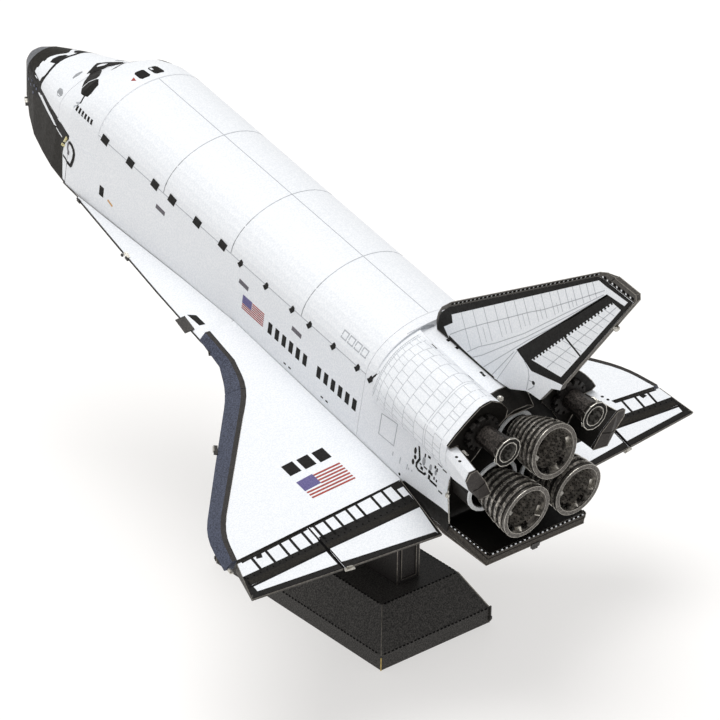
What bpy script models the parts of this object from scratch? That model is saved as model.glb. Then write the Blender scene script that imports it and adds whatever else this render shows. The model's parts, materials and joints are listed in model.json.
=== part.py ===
# Display model of a winged space orbiter, folded from printed sheet metal, on a folded black stand.
# The orbiter is drawn level in its own frame: X to its left wing, Y aft from the nose, Z up.
# One empty then tips it nose up and sets it above the stand, whose foot is at Z = 0.
# Every size below is in millimetres, and the helpers turn it into metres.

import math

import bmesh
import bpy
from mathutils import Matrix, Vector

MM = 0.001

# Driving dimensions of the whole model.
NOSE_UP_DEG = 12.68
SHEET = 0.25
GAP = 0.06
ORBITER_Y = -65.588
ORBITER_Z = 52.19

# Fuselage.
BELLY_Z = -1.0
BELLY_HALF = 9.0
SILL_HALF = 9.6
SILL_Z = 12.2
ROOF_Z = 19.0
CHIN_END_Y = 21.3
BAY_FRONT_Y = 27.9
BAY_REAR_Y = 88.4
DECK_FRONT_Y = 90.0
DECK_Z = 18.1
TAIL_Y = 107.1
TAIL_RECESS = 0.6
TAIL_RIM = 0.3
ARCH_STEPS = 20

# Wings: the top sheet is one plane, highest at the root and falling outboard and aft.
ROOT_X = 9.18
ROOT_Z = 1.87
ROOT_REF_Y = 58.8
FALL_OUT = 0.0573
FALL_AFT = 0.0284
WING_FRONT_Y = 61.1
HINGE_ROOT_Y = 98.2
HINGE_TIP_Y = 99.4
HINGE_TIP_X = 38.0
UNDER_FALL = 0.040
EDGE_BAND = 0.75
EDGE_BEND_REACH = 3.2
EDGE_BEND_STEPS = 4

# Fin, in the plane X = 0.
FIN_HALF = 0.45
FIN_EDGE_HALF = 0.12
RUDDER_HALF = 0.36

# Engine bay plates, from the recess in the tail's end backwards.
BULKHEAD_Y = TAIL_Y - TAIL_RECESS + GAP
DRUM_Y = BULKHEAD_Y + SHEET + GAP
POD_END_Y = 108.5
POD_PLATE_Y = POD_END_Y + GAP

# Stand, placed in the same frame as the finished model.
STAND_Y = 75.3 + ORBITER_Y
STAND_HALF_X = 10.0
STAND_HALF_Y = 18.27
STAND_TOP_HALF_X = 6.97
STAND_TOP_HALF_Y = 14.71
SKIRT_H = 2.45
STAND_H = 7.77
POST_HALF_X = 2.0
POST_FRONT_Y = 66.0 + ORBITER_Y
POST_REAR_Y = 87.4 + ORBITER_Y

SIDES = (("port", 1), ("starboard", -1))

# Colours as linear red, green, blue, then roughness and metallic.
FINISHES = {
    "white_print": ((0.84, 0.86, 0.89), 0.55, 0.0),
    "black_print": ((0.022, 0.020, 0.019), 0.45, 0.3),
    "edge_print": ((0.07, 0.08, 0.12), 0.55, 0.2),
    "nose_print": ((0.16, 0.17, 0.19), 0.45, 0.3),
    "dark_metal": ((0.10, 0.095, 0.09), 0.35, 0.9),
    "pale_collar": ((0.55, 0.57, 0.58), 0.45, 0.2),
}


def remove_everything():
    for obj in list(bpy.data.objects):
        bpy.data.objects.remove(obj, do_unlink=True)


def new_collection(name):
    collection = bpy.data.collections.new(name)
    bpy.context.scene.collection.children.link(collection)
    return collection


def finish(name, key):
    """A material of its own for each sub-part."""
    colour, roughness, metallic = FINISHES[key]
    material = bpy.data.materials.new(name + "_" + key)
    material.use_nodes = True
    shader = material.node_tree.nodes["Principled BSDF"]
    shader.inputs["Base Color"].default_value = (*colour, 1.0)
    shader.inputs["Roughness"].default_value = roughness
    shader.inputs["Metallic"].default_value = metallic
    return material


def add_object(name, data, key, parent=None, cutter=False):
    obj = bpy.data.objects.new(name, data)
    if cutter:
        CUTTERS.objects.link(obj)
        obj.hide_render = True
        obj.display_type = "WIRE"
    else:
        PARTS.objects.link(obj)
        data.materials.append(finish(name, key))
    obj.parent = parent
    return obj


def to_mesh(name, bm):
    bmesh.ops.recalc_face_normals(bm, faces=bm.faces)
    mesh = bpy.data.meshes.new(name)
    bm.to_mesh(mesh)
    bm.free()
    return mesh


def loft(name, rings):
    """A closed skin through rings of equal length, each a loop of millimetre points."""
    bm = bmesh.new()
    loops = [[bm.verts.new(Vector(p) * MM) for p in ring] for ring in rings]
    count = len(rings[0])
    for low, high in zip(loops[:-1], loops[1:]):
        for i in range(count):
            j = (i + 1) % count
            bm.faces.new((low[i], low[j], high[j], high[i]))
    ends = [bm.faces.new(loops[0]), bm.faces.new(loops[-1])]
    bmesh.ops.triangulate(bm, faces=ends)
    return to_mesh(name, bm)


def box(name, low, high):
    """An axis-aligned box between two millimetre corners."""
    bm = bmesh.new()
    size = [(b - a) * MM for a, b in zip(low, high)]
    middle = [(a + b) / 2 * MM for a, b in zip(low, high)]
    matrix = Matrix.Translation(middle) @ Matrix.Diagonal((*size, 1.0))
    bmesh.ops.create_cube(bm, size=1.0, matrix=matrix)
    return to_mesh(name, bm)


def plate(name, outline, thickness, key, parent, location, rotation):
    """A flat plate: a filled 2D curve, extruded by half its thickness each way."""
    curve = bpy.data.curves.new(name, "CURVE")
    curve.dimensions = "2D"
    curve.fill_mode = "BOTH"
    curve.extrude = thickness / 2 * MM
    spline = curve.splines.new("POLY")
    spline.points.add(len(outline) - 1)
    for point, (u, v) in zip(spline.points, outline):
        point.co = (u * MM, v * MM, 0.0, 1.0)
    spline.use_cyclic_u = True
    obj = add_object(name, curve, key, parent)
    obj.location = Vector(location) * MM
    obj.rotation_euler = rotation
    return obj


def cross_plate(name, outline, y_front, thickness, key):
    """A plate across the body, from (x, z) pairs."""
    place = (0.0, y_front + thickness / 2, 0.0)
    return plate(name, outline, thickness, key, ORBITER, place, (math.pi / 2, 0.0, 0.0))


def centre_plate(name, outline, thickness, key):
    """A plate in the plane of symmetry, from (y, z) pairs."""
    return plate(name, outline, thickness, key, ORBITER, (0, 0, 0), (math.pi / 2, 0.0, math.pi / 2))


def turned(name, profile, key, parent, location, tilt_deg=0.0, steps=24):
    """A turned piece: its profile of (radius, height) pairs runs down its outer side."""
    bm = bmesh.new()
    verts = [bm.verts.new((r * MM, 0.0, h * MM)) for r, h in profile]
    pairs = list(zip(verts[:-1], verts[1:])) + [(verts[-1], verts[0])]
    for a, b in pairs:
        if a.co.x > 0.0 or b.co.x > 0.0:
            bm.edges.new((a, b))
    mesh = bpy.data.meshes.new(name)
    bm.to_mesh(mesh)
    bm.free()
    obj = add_object(name, mesh, key, parent)
    screw = obj.modifiers.new("Screw", "SCREW")
    screw.axis = "Z"
    screw.steps = steps
    screw.render_steps = steps
    screw.use_merge_vertices = True
    screw.merge_threshold = 0.00001
    obj.location = Vector(location) * MM
    obj.rotation_euler = (math.radians(-90.0 + tilt_deg), 0.0, 0.0)
    return obj


def cut(obj, cutter, name):
    modifier = obj.modifiers.new(name, "BOOLEAN")
    modifier.operation = "DIFFERENCE"
    modifier.object = cutter
    modifier.solver = "EXACT"


def side_x(z):
    """Half width of the leaning fuselage side at a height."""
    share = (z - BELLY_Z) / (SILL_Z - BELLY_Z)
    return BELLY_HALF + (SILL_HALF - BELLY_HALF) * share


def arch(half, z_low, z_top, steps=ARCH_STEPS):
    """Half-ellipse over the roof from the left side to the right, as (x, z) pairs."""
    turn = [math.pi * i / steps for i in range(steps + 1)]
    return [(half * math.cos(t), z_low + (z_top - z_low) * math.sin(t)) for t in turn]


def at_y(y, pairs):
    return [(x, y, z) for x, z in pairs]


def wing_top(x, y):
    return ROOT_Z - FALL_AFT * (y - ROOT_REF_Y) - FALL_OUT * (abs(x) - ROOT_X)


def wing_under(x):
    return BELLY_Z - 0.1 - UNDER_FALL * (abs(x) - ROOT_X)


# Nose and chin sections: station, belly half width, chin half width, belly height, chin line height,
# shoulder height, roof height.
NOSE_SECTIONS = (
    (0.0, 0.5, 1.0, 4.2, 5.2, 5.3, 6.4),
    (1.0, 1.5, 2.1, 2.3, 5.4, 5.6, 7.4),
    (3.0, 2.9, 3.4, 0.9, 5.8, 6.0, 8.6),
    (6.0, 4.4, 4.6, -0.3, 6.2, 6.7, 9.9),
    (9.5, 6.0, 5.8, -0.9, 6.6, 7.6, 11.3),
    (13.5, 7.3, 7.2, -1.0, 7.1, 8.6, 12.6),
    (17.0, 8.3, 8.2, -1.0, 7.4, 9.6, 14.0),
    (21.3, 9.0, 9.35, -1.0, 7.7, 11.4, 17.3),
)
CAP_SECTIONS = 3


def lower_ring(section, lift=0.0):
    y, belly, chin, z_belly, z_chin = section[:5]
    z_top = z_chin - lift
    return at_y(y, ((chin, z_top), (belly, z_belly), (-belly, z_belly), (-chin, z_top)))


def upper_ring(y, half_low, z_low, half_shoulder, z_shoulder, z_top):
    pairs = [(half_low, z_low)] + arch(half_shoulder, z_shoulder, z_top) + [(-half_low, z_low)]
    return at_y(y, pairs)


def nose_upper_ring(section, lift=0.0):
    y, _, chin, _, z_chin, z_shoulder, z_top = section
    return upper_ring(y, chin, z_chin + lift, chin + 0.02, z_shoulder, z_top)


def make_nose():
    """Grey cap, black chin below the chin line and white upper shell behind it."""
    cap = []
    for section in NOSE_SECTIONS[:CAP_SECTIONS]:
        y, belly, chin, z_belly, z_chin, z_shoulder, z_top = section
        low = [(chin, z_chin), (belly, z_belly), (-belly, z_belly), (-chin, z_chin)]
        cap.append(at_y(y, low + arch(chin + 0.02, z_shoulder, z_top)[::-1]))
    add_object("nose_cap", loft("nose_cap", cap), "nose_print", ORBITER)
    behind = list(NOSE_SECTIONS[CAP_SECTIONS - 1:])
    first = list(behind[0])
    first[0] += GAP
    behind[0] = tuple(first)
    chin = [lower_ring(section, GAP) for section in behind]
    add_object("nose_chin", loft("nose_chin", chin), "black_print", ORBITER)
    upper = [nose_upper_ring(section) for section in behind[:-1]]
    add_object("nose_upper", loft("nose_upper", upper), "white_print", ORBITER)


# Cockpit sections: station, shoulder height, roof height. The foot stays on the chin line.
COCKPIT_SECTIONS = (
    (17.06, 9.6, 14.0),
    (19.0, 10.4, 15.6),
    (21.3, 11.4, 17.3),
    (24.5, 12.0, 18.6),
    (27.84, 12.2, 19.0),
)
FOOT_Z = 7.7


def make_cockpit():
    rings = []
    for y, z_shoulder, z_top in COCKPIT_SECTIONS:
        front = min(1.0, (y - 17.0) / (CHIN_END_Y - 17.0))
        foot_half = 8.2 + (side_x(FOOT_Z) - 8.2) * front
        shoulder_half = 8.22 + (side_x(z_shoulder) - 8.22) * front
        foot_z = 7.4 + (FOOT_Z - 7.4) * front
        rings.append(upper_ring(y, foot_half, foot_z, shoulder_half, z_shoulder, z_top))
    add_object("cockpit_section", loft("cockpit_section", rings), "white_print", ORBITER)


def box_ring(y, z_low, z_high):
    low, high = side_x(z_low), side_x(z_high)
    return at_y(y, ((high, z_high), (low, z_low), (-low, z_low), (-high, z_high)))


def make_fuselage():
    """Mid body below the sill, the bay shell above it, and the tail body that carries the pods."""
    floor = BELLY_Z + GAP
    mid = (
        (CHIN_END_Y + GAP, FOOT_Z - GAP),
        (BAY_FRONT_Y - GAP, FOOT_Z - GAP),
        (BAY_FRONT_Y - 0.02, SILL_Z - GAP),
        (BAY_REAR_Y, SILL_Z - GAP),
    )
    rings = [box_ring(y, floor, z) for y, z in mid]
    add_object("mid_fuselage", loft("mid_fuselage", rings), "white_print", ORBITER)
    shell = [at_y(y, arch(SILL_HALF, SILL_Z, ROOF_Z)) for y in (BAY_FRONT_Y, BAY_REAR_Y)]
    add_object("bay_shell", loft("bay_shell", shell), "white_print", ORBITER)
    tail = []
    foot = side_x(floor)
    for y, z_top in (
        (BAY_REAR_Y + GAP, ROOF_Z), (DECK_FRONT_Y, ROOF_Z), (DECK_FRONT_Y + 0.2, DECK_Z), (TAIL_Y, DECK_Z),
    ):
        pairs = [(foot, floor)] + arch(SILL_HALF, SILL_Z, z_top) + [(-foot, floor)]
        tail.append(at_y(y, pairs))
    tail_body = add_object("aft_fuselage", loft("aft_fuselage", tail), "white_print", ORBITER)
    inner = foot - TAIL_RIM
    pairs = [(inner, floor + TAIL_RIM)] + arch(SILL_HALF - TAIL_RIM, SILL_Z, DECK_Z - TAIL_RIM)
    pairs.append((-inner, floor + TAIL_RIM))
    recess = loft("tail_recess_cutter", [at_y(y, pairs) for y in (TAIL_Y - TAIL_RECESS, TAIL_Y + 1.0)])
    cut(tail_body, add_object("tail_recess_cutter", recess, None, ORBITER, cutter=True), "Recess")
    low = (-HOOD_HALF - GAP, HOOD_FRONT_Y - GAP, HOOD_FOOT_Z - GAP)
    high = (HOOD_HALF + GAP, TAIL_Y + 1.0, DECK_Z + 1.0)
    notch = add_object("hood_cutter", box("hood_cutter", low, high), None, ORBITER, cutter=True)
    cut(tail_body, notch, "Hood notch")
    half = BELLY_HALF - 0.2
    low = (-half, CHIN_END_Y + GAP, BELLY_Z - SHEET)
    high = (half, TAIL_Y - GAP, BELLY_Z)
    add_object("belly_plate", box("belly_plate", low, high), "black_print", ORBITER)


# Strake sections: station, edge half span, root height, edge height, keel inset.
STRAKE_SECTIONS = (
    (25.0, 9.45, -0.85, -1.0, 0.05),
    (38.6, 11.5, 0.17, -0.65, 0.6),
    (49.0, 13.1, 1.05, -0.25, 0.9),
    (61.0, 14.75, 1.75, 0.25, 1.2),
)


def make_strakes():
    for side, sign in SIDES:
        rings = []
        for y, edge, z_root, z_edge, inset in STRAKE_SECTIONS:
            root = ROOT_X
            under = wing_under(edge)
            pairs = (
                (root, z_root),
                (edge, z_edge),
                (edge, z_edge - 0.2),
                (edge - inset, min(under, z_edge - 0.3)),
                (root, wing_under(root)),
            )
            rings.append([(sign * x, y, z) for x, z in pairs])
        name = "strake_" + side
        add_object(name, loft(name, rings), "white_print", ORBITER)


# Leading edge line, from the glove to the tip: inner x, inner y, outer x, outer y, drop of the outer edge.
EDGE_LINE = (
    (13.35, 61.1, 14.80, 60.9, 1.15),
    (14.00, 67.6, 15.75, 66.7, 1.20),
    (15.90, 73.2, 18.20, 71.5, 1.25),
    (26.30, 84.0, 28.15, 82.1, 1.35),
    (35.85, 93.9, 37.50, 92.2, 1.35),
    (37.50, 98.9, 39.20, 98.6, 1.30),
)
EDGE_BENDS = (2, 4)


def edge_rows():
    """The leading edge line with its two bends drawn as arcs, and where its front piece ends."""
    rows = [EDGE_LINE[0]]
    split = 0
    for i in range(1, len(EDGE_LINE) - 1):
        here = Vector(EDGE_LINE[i])
        if i not in EDGE_BENDS:
            rows.append(tuple(here))
            continue
        ends = []
        for other in (Vector(EDGE_LINE[i - 1]), Vector(EDGE_LINE[i + 1])):
            away = other - here
            share = EDGE_BEND_REACH / math.hypot(away[0], away[1])
            ends.append(here + away * min(0.48, share))
        for step in range(EDGE_BEND_STEPS + 1):
            t = step / EDGE_BEND_STEPS
            rows.append(tuple(ends[0] * (1 - t) ** 2 + here * 2 * t * (1 - t) + ends[1] * t ** 2))
        if not split:
            split = len(rows) - 1 - EDGE_BEND_STEPS // 2
    rows.append(EDGE_LINE[-1])
    return rows, split


def edge_points(row):
    """Inner top, fold, outer foot and inner foot of the leading edge at one point of its line."""
    xi, yi, xo, yo, drop = row
    dx, dy = xo - xi, yo - yi
    width = math.hypot(dx, dy)
    ux, uy = dx / width, dy / width
    xf, yf = xi + ux * EDGE_BAND, yi + uy * EDGE_BAND
    z_foot = wing_top(xo, yo) - drop
    back = 0.3 + GAP
    return (
        (xi + ux * GAP, yi + uy * GAP, wing_top(xi, yi)),
        (xf, yf, wing_top(xf, yf)),
        (xo, yo, z_foot),
        (xi + ux * back, yi + uy * back, z_foot),
    )


def make_wings():
    line, split = edge_rows()
    hinge_root = (ROOT_X, HINGE_ROOT_Y)
    for side, sign in SIDES:
        top = [(ROOT_X, WING_FRONT_Y)] + [(row[0], row[1]) for row in line] + [hinge_root]
        low, high = [], []
        for x, y in top:
            high.append((sign * x, y, wing_top(x, y)))
            low.append((sign * x, y, wing_under(x)))
        name = "wing_" + side
        add_object(name, loft(name, (low, high)), "white_print", ORBITER)
        spans = (("front", line[:split + 1]), ("outer", line[split:]))
        for label, rows in spans:
            rings = [[(sign * x, y, z) for x, y, z in edge_points(row)] for row in rows]
            if label == "outer":
                rings[0] = [(x + sign * GAP, y + GAP, z) for x, y, z in rings[0]]
            name = "leading_edge_" + label + "_" + side
            add_object(name, loft(name, rings), "edge_print", ORBITER)


# Elevons: name, inner x at the hinge, outer x at the hinge, inner x and y at the rear edge, outer ones.
ELEVONS = (
    ("inboard", 9.3, 25.55, 10.4, 108.7, 25.55, 106.95),
    ("outboard", 25.85, 38.0, 25.85, 106.9, 39.65, 105.1),
)
REAR_ROOT = (10.3, -0.48)
REAR_TIP = (39.65, -1.94)
REAR_THICK = 0.3


def hinge_y(x):
    return HINGE_ROOT_Y + (HINGE_TIP_Y - HINGE_ROOT_Y) * (x - ROOT_X) / (HINGE_TIP_X - ROOT_X)


def rear_z(x):
    share = (x - REAR_ROOT[0]) / (REAR_TIP[0] - REAR_ROOT[0])
    return REAR_ROOT[1] + (REAR_TIP[1] - REAR_ROOT[1]) * share


def make_elevons():
    for side, sign in SIDES:
        for label, x_in, x_out, xr_in, yr_in, xr_out, yr_out in ELEVONS:
            rings = []
            for x, xr, yr in ((x_in, xr_in, yr_in), (x_out, xr_out, yr_out)):
                y = hinge_y(x) + 2 * GAP
                z, zr = wing_top(x, y), rear_z(xr)
                ring = ((x, y, z), (xr, yr, zr), (xr, yr, zr - REAR_THICK), (x, y, wing_under(x)))
                rings.append([(sign * a, b, c) for a, b, c in ring])
            name = "elevon_" + label + "_" + side
            add_object(name, loft(name, rings), "white_print", ORBITER)


# Fin outline in the plane X = 0: y and z of the blade-like edge, then how far the flat side's corner
# lies from it.
FIN_OUTLINE = (
    (90.65, 18.2, 0.35, 0.0), (90.3, 19.1, 0.35, 0.0), (90.35, 20.5, 0.35, 0.0), (90.75, 21.7, 0.35, -0.15),
    (92.1, 23.4, 0.3, -0.25), (116.05, 45.05, 0.2, -0.25), (117.4, 45.85, 0.05, -0.2),
    (118.9, 46.2, 0.0, 0.0), (105.7, 25.3, 0.0, 0.0), (103.45, 18.3, 0.0, 0.0), (102.9, 18.16, 0.0, 0.0),
)
RUDDER_OUTLINE = (
    (119.05, 46.3), (123.0, 46.35), (123.25, 45.6), (114.75, 25.9), (109.1, 24.15), (108.0, 24.95),
    (105.85, 25.3),
)
ROOT_OUTLINE = (
    (103.6, 18.4), (105.85, 25.15), (107.95, 24.8), (109.05, 24.0), (114.7, 25.75), (114.5, 24.7),
    (113.0, 23.9), (111.5, 20.85), (109.6, 20.65), (108.7, 20.4), (106.0, 18.75),
)


def make_fin():
    """Fin with a blade-like front edge, rudder, and the root piece that ends in a spike."""
    rings = []
    for half, fold in ((FIN_HALF, 1), (FIN_EDGE_HALF, 0), (-FIN_EDGE_HALF, 0), (-FIN_HALF, 1)):
        rings.append([(half, y + fold * dy, z + fold * dz) for y, z, dy, dz in FIN_OUTLINE])
    add_object("fin", loft("fin", rings), "white_print", ORBITER)
    centre_plate("rudder", RUDDER_OUTLINE, 2 * RUDDER_HALF, "white_print")
    centre_plate("fin_root", ROOT_OUTLINE, 2 * FIN_HALF, "white_print")


# Outer skin of a pod as (x, z) pairs from the deck over the top to its lower edge, front and rear.
POD_FRONT = (
    (3.0, 18.6), (4.6, 18.15), (6.2, 17.45), (7.6, 16.5),
    (8.7, 15.2), (9.5, 13.6), (9.74, 12.0), (9.7, 10.6),
)
POD_REAR = (
    (3.2, 18.3), (4.7, 20.0), (6.6, 20.95), (8.4, 20.6),
    (10.3, 18.95), (12.0, 17.2), (12.95, 15.6), (12.3, 12.2),
)
# Pod stations: y, how far the skin has swelled, x and z of its lower edge.
POD_STATIONS = (
    (90.35, 0.0, 9.66, 9.2),
    (93.5, 0.38, 9.66, 9.15),
    (98.0, 0.68, 9.66, 9.0),
    (103.0, 0.88, 9.66, 8.8),
    (107.1, 0.98, 9.7, 8.5),
    (108.5, 1.0, 10.3, 9.0),
)
POD_SUBSTEPS = 3
# The black plate behind a pod, as (x, z) pairs, and the thruster pack beside it.
POD_PLATE = (
    (3.2, 17.0), (3.2, 18.35), (4.7, 20.1), (6.6, 21.08), (8.45, 20.75), (10.4, 19.05), (12.1, 17.3),
    (13.1, 16.0), (12.5, 15.45), (11.2, 15.42), (10.0, 12.6), (9.0, 10.4), (7.5, 12.0), (5.5, 14.8),
)
# Thruster pack: station, then x and z of its seven corners from the inner top corner outwards and round.
PACK_SECTIONS = (
    (
        POD_PLATE_Y, (11.3, 15.35), (12.75, 15.35), (12.9, 14.4), (12.2, 11.9), (10.5, 9.2), (9.6, 9.6),
        (10.2, 12.6),
    ),
    (
        113.85, (12.5, 15.65), (13.7, 15.65), (14.0, 14.3), (13.0, 12.3), (11.35, 10.55), (9.1, 10.5),
        (10.3, 12.8),
    ),
)
# How far each corner of the housing behind the pack reaches aft of its front face.
HOUSING_REACH = (0.25, 0.35, 0.2, 0.15, 0.75, 0.45, 0.2)


def smooth_line(points, substeps):
    """A Catmull-Rom line through the points."""
    line = []
    padded = [points[0]] + list(points) + [points[-1]]
    for i in range(1, len(padded) - 2):
        p0, p1, p2, p3 = (Vector(padded[i + k]) for k in (-1, 0, 1, 2))
        for step in range(substeps):
            t = step / substeps
            bend = (2 * p0 - 5 * p1 + 4 * p2 - p3) * t ** 2 + (3 * p1 - p0 - 3 * p2 + p3) * t ** 3
            line.append((p1 * 2 + (p2 - p0) * t + bend) / 2)
    line.append(Vector(points[-1]))
    return line


def pod_ring(sign, station):
    y, swell, x_low, z_low = station
    skin = []
    for front, rear in zip(POD_FRONT, POD_REAR):
        skin.append([a + (b - a) * swell for a, b in zip(front, rear)])
    line = smooth_line(skin + [[x_low, z_low]], POD_SUBSTEPS)
    return [(sign * p.x, y, p.y) for p in line]


def make_pods():
    """Engine pods on the tail's shoulders, each cut to the body it sits on."""
    rings = []
    foot = side_x(BELLY_Z) + GAP
    for y in (BAY_REAR_Y, POD_END_Y + 1.0):
        pairs = [(foot, BELLY_Z)] + arch(SILL_HALF + GAP, SILL_Z, DECK_Z + GAP)
        rings.append(at_y(y, pairs + [(-foot, BELLY_Z)]))
    cutter = add_object("pod_seat_cutter", loft("pod_seat_cutter", rings), None, ORBITER, cutter=True)
    for side, sign in SIDES:
        name = "pod_" + side
        mesh = loft(name, [pod_ring(sign, station) for station in POD_STATIONS])
        cut(add_object(name, mesh, "white_print", ORBITER), cutter, "Seat")
        name = "thruster_pack_" + side
        rings = []
        for y, *corners in PACK_SECTIONS:
            rings.append([(sign * x, y, z) for x, z in corners])
        add_object(name, loft(name, rings), "white_print", ORBITER)


def make_tail_plates():
    """Black bulkhead in the tail's recess, and the black plate behind each pod."""
    inset = TAIL_RIM + GAP
    foot = side_x(BELLY_Z + GAP) - inset
    over = arch(SILL_HALF - inset, SILL_Z, DECK_Z - inset)
    edge = HOOD_HALF + 2 * GAP
    left = [p for p in over if p[0] > edge]
    outline = [(foot, BELLY_Z + GAP + inset)] + left + [(edge, left[-1][1]), (edge, HOOD_FOOT_Z - 2 * GAP)]
    outline += [(-x, z) for x, z in reversed(outline)]
    cross_plate("aft_bulkhead", outline, BULKHEAD_Y, SHEET, "black_print")
    for side, sign in SIDES:
        mirrored = [(sign * x, z) for x, z in POD_PLATE]
        cross_plate("pod_plate_" + side, mirrored, POD_PLATE_Y, SHEET, "black_print")


def make_housings():
    """Dark end of each thruster pack, its lower part bent aft."""
    y0 = PACK_SECTIONS[-1][0] + GAP
    for side, sign in SIDES:
        corners = PACK_SECTIONS[-1][1:]
        front = [(sign * x, y0, z) for x, z in corners]
        rear = [(sign * x, y0 + reach, z) for (x, z), reach in zip(corners, HOUSING_REACH)]
        name = "thruster_housing_" + side
        add_object(name, loft(name, (front, rear)), "black_print", ORBITER)


# Main engines: name, x, base y, base z, tilt up in degrees, bell length, drum radius, drum length, drum z.
ENGINES = (
    ("top", 0.0, 108.5, 13.2, 13.5, 7.3, 3.1, 0.85, 12.95),
    ("port", 4.6, 108.9, 7.0, 4.0, 8.4, 4.2, 3.25, 7.05),
    ("starboard", -4.6, 108.9, 7.0, 4.0, 8.4, 4.2, 3.25, 7.05),
)
BELL_THROAT_R = 1.9
BELL_EXIT_R = 3.75
BELL_WALL = 0.3
BELL_RIBS = 7
BELL_RIBBED = 0.94
BELL_RIM = 0.45
THROAT_LIP = 0.8
THROAT_FLARE = (0.5, 0.6)
RIB_PROUD = 0.22
RIB_BEVEL = 0.05
RIB_START = 0.35
RIB_END = 0.75
DRUM_WALL = 0.55
DRUM_FACETS = 10
BOSS_R = 1.4


def bell_radius(share):
    return BELL_THROAT_R + (BELL_EXIT_R - BELL_THROAT_R) * math.sin(share * math.pi / 2) ** 0.8


def bell_profile(length):
    """Outer side from the wide end back to the throat with raised ribs, then the inside out again."""
    rim = BELL_EXIT_R + RIB_PROUD
    points = [(BELL_EXIT_R - BELL_RIM, length), (rim, length), (rim, length - BELL_RIM)]
    for i in range(BELL_RIBS - 1, -1, -1):
        share_high = (i + RIB_END) / BELL_RIBS * BELL_RIBBED
        share_low = (i + RIB_START) / BELL_RIBS * BELL_RIBBED
        high, low = bell_radius(share_high), bell_radius(share_low)
        points.append((high, share_high * length))
        points.append((high + RIB_PROUD, share_high * length - RIB_BEVEL))
        points.append((low + RIB_PROUD, share_low * length + RIB_BEVEL))
        points.append((low, share_low * length))
    points.append((BELL_THROAT_R, 0.0))
    points.append((BELL_THROAT_R - THROAT_LIP, 0.0))
    points.append((BELL_THROAT_R - THROAT_FLARE[0], THROAT_FLARE[1]))
    for share in (0.3, 0.55, 0.8):
        points.append((bell_radius(share) - BELL_WALL, share * length))
    return points


def make_engines():
    """Ribbed bells, each standing on a boss in an open faceted drum with a pale collar on its rim."""
    for label, x, y, z, tilt, length, radius, drum, drum_z in ENGINES:
        name = "main_engine_" + label
        turned(name, bell_profile(length), "dark_metal", ORBITER, (x, y, z), tilt)
        boss = y - DRUM_Y - GAP - BOSS_R * math.sin(math.radians(tilt))
        inner = radius - DRUM_WALL
        profile = (
            (inner, drum), (radius, drum), (radius, 0.0), (0.0, 0.0), (0.0, boss), (BOSS_R, boss),
            (BOSS_R, SHEET), (inner, SHEET),
        )
        name = "engine_dome_" + label
        turned(name, profile, "black_print", ORBITER, (x, DRUM_Y, drum_z), 0.0, DRUM_FACETS)
        collar = ((inner, SHEET), (radius, SHEET), (radius, 0.0), (inner, 0.0))
        place = (x, DRUM_Y + drum + GAP, drum_z)
        turned("engine_collar_" + label, collar, "pale_collar", ORBITER, place)


NOZZLE_X = 7.7
NOZZLE_Z = 16.6
NOZZLE_TILT = 5.5
NOZZLE_FACETS = 12
NOZZLE_FOOT_R = 1.5
NOZZLE_PROFILE = (
    (1.45, 4.7), (2.15, 4.7), (2.15, 4.5), (1.75, 3.9), (1.6, 2.2), (1.5, 0.5), (NOZZLE_FOOT_R, 0.0),
    (0.6, 0.0), (0.7, 0.8), (1.1, 3.0),
)
LUGS = 11
LUG_ROOT_R = 2.1
LUG_TIP_R = 2.7
LUG_SHARE = 0.6
LUG_H = 0.7


def lugged_outline(x, z, sign):
    """A disc with square lugs round its edge, as (x, z) pairs."""
    outline = []
    for i in range(LUGS):
        for share, radius in (
            (0.0, LUG_TIP_R), (LUG_SHARE, LUG_TIP_R), (LUG_SHARE, LUG_ROOT_R), (1.0, LUG_ROOT_R),
        ):
            turn = 2 * math.pi * (i + share) / LUGS
            outline.append((sign * (x + radius * math.cos(turn)), z + radius * math.sin(turn)))
    return outline


def make_pod_nozzles():
    """Faceted nozzle at the rear of each pod, on a collar with lugs."""
    y_ring = POD_PLATE_Y + SHEET + GAP
    lift = NOZZLE_FOOT_R * math.sin(math.radians(NOZZLE_TILT))
    for side, sign in SIDES:
        outline = lugged_outline(NOZZLE_X, NOZZLE_Z, sign)
        cross_plate("pod_nozzle_ring_" + side, outline, y_ring, LUG_H, "dark_metal")
        place = (sign * NOZZLE_X, y_ring + LUG_H + GAP + lift, NOZZLE_Z)
        name = "pod_nozzle_" + side
        turned(name, NOZZLE_PROFILE, "dark_metal", ORBITER, place, NOZZLE_TILT, NOZZLE_FACETS)


HOOD_FRONT_Y = 104.75
HOOD_HALF = 2.8
HOOD_FOOT_Z = 16.25
# Hood sections: station, half width of the flat top, top height, half width at the foot.
HOOD_SECTIONS = (
    (HOOD_FRONT_Y, 1.5, 18.05, HOOD_HALF),
    (106.2, 1.4, 17.75, HOOD_HALF),
    (108.2, 1.2, 16.95, 2.4),
)


def make_hood():
    """Faceted black hood from the deck's end down over the upper engine's collar."""
    rings = []
    for y, half_top, z_top, half in HOOD_SECTIONS:
        side_z = z_top - 0.55
        pairs = (
            (half, HOOD_FOOT_Z), (half, side_z), (half_top, z_top), (-half_top, z_top), (-half, side_z),
            (-half, HOOD_FOOT_Z),
        )
        rings.append(at_y(y, pairs))
    add_object("engine_hood", loft("engine_hood", rings), "black_print", ORBITER)


FLAP_HALF = 8.72
FLAP_FRONT_Y = TAIL_Y + GAP
FLAP_REAR_Y = 116.1
FLAP_TOP_Z = 0.15
FLAP_FRONT_DEPTH = 1.6
FLAP_REAR_DEPTH = 1.1


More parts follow.
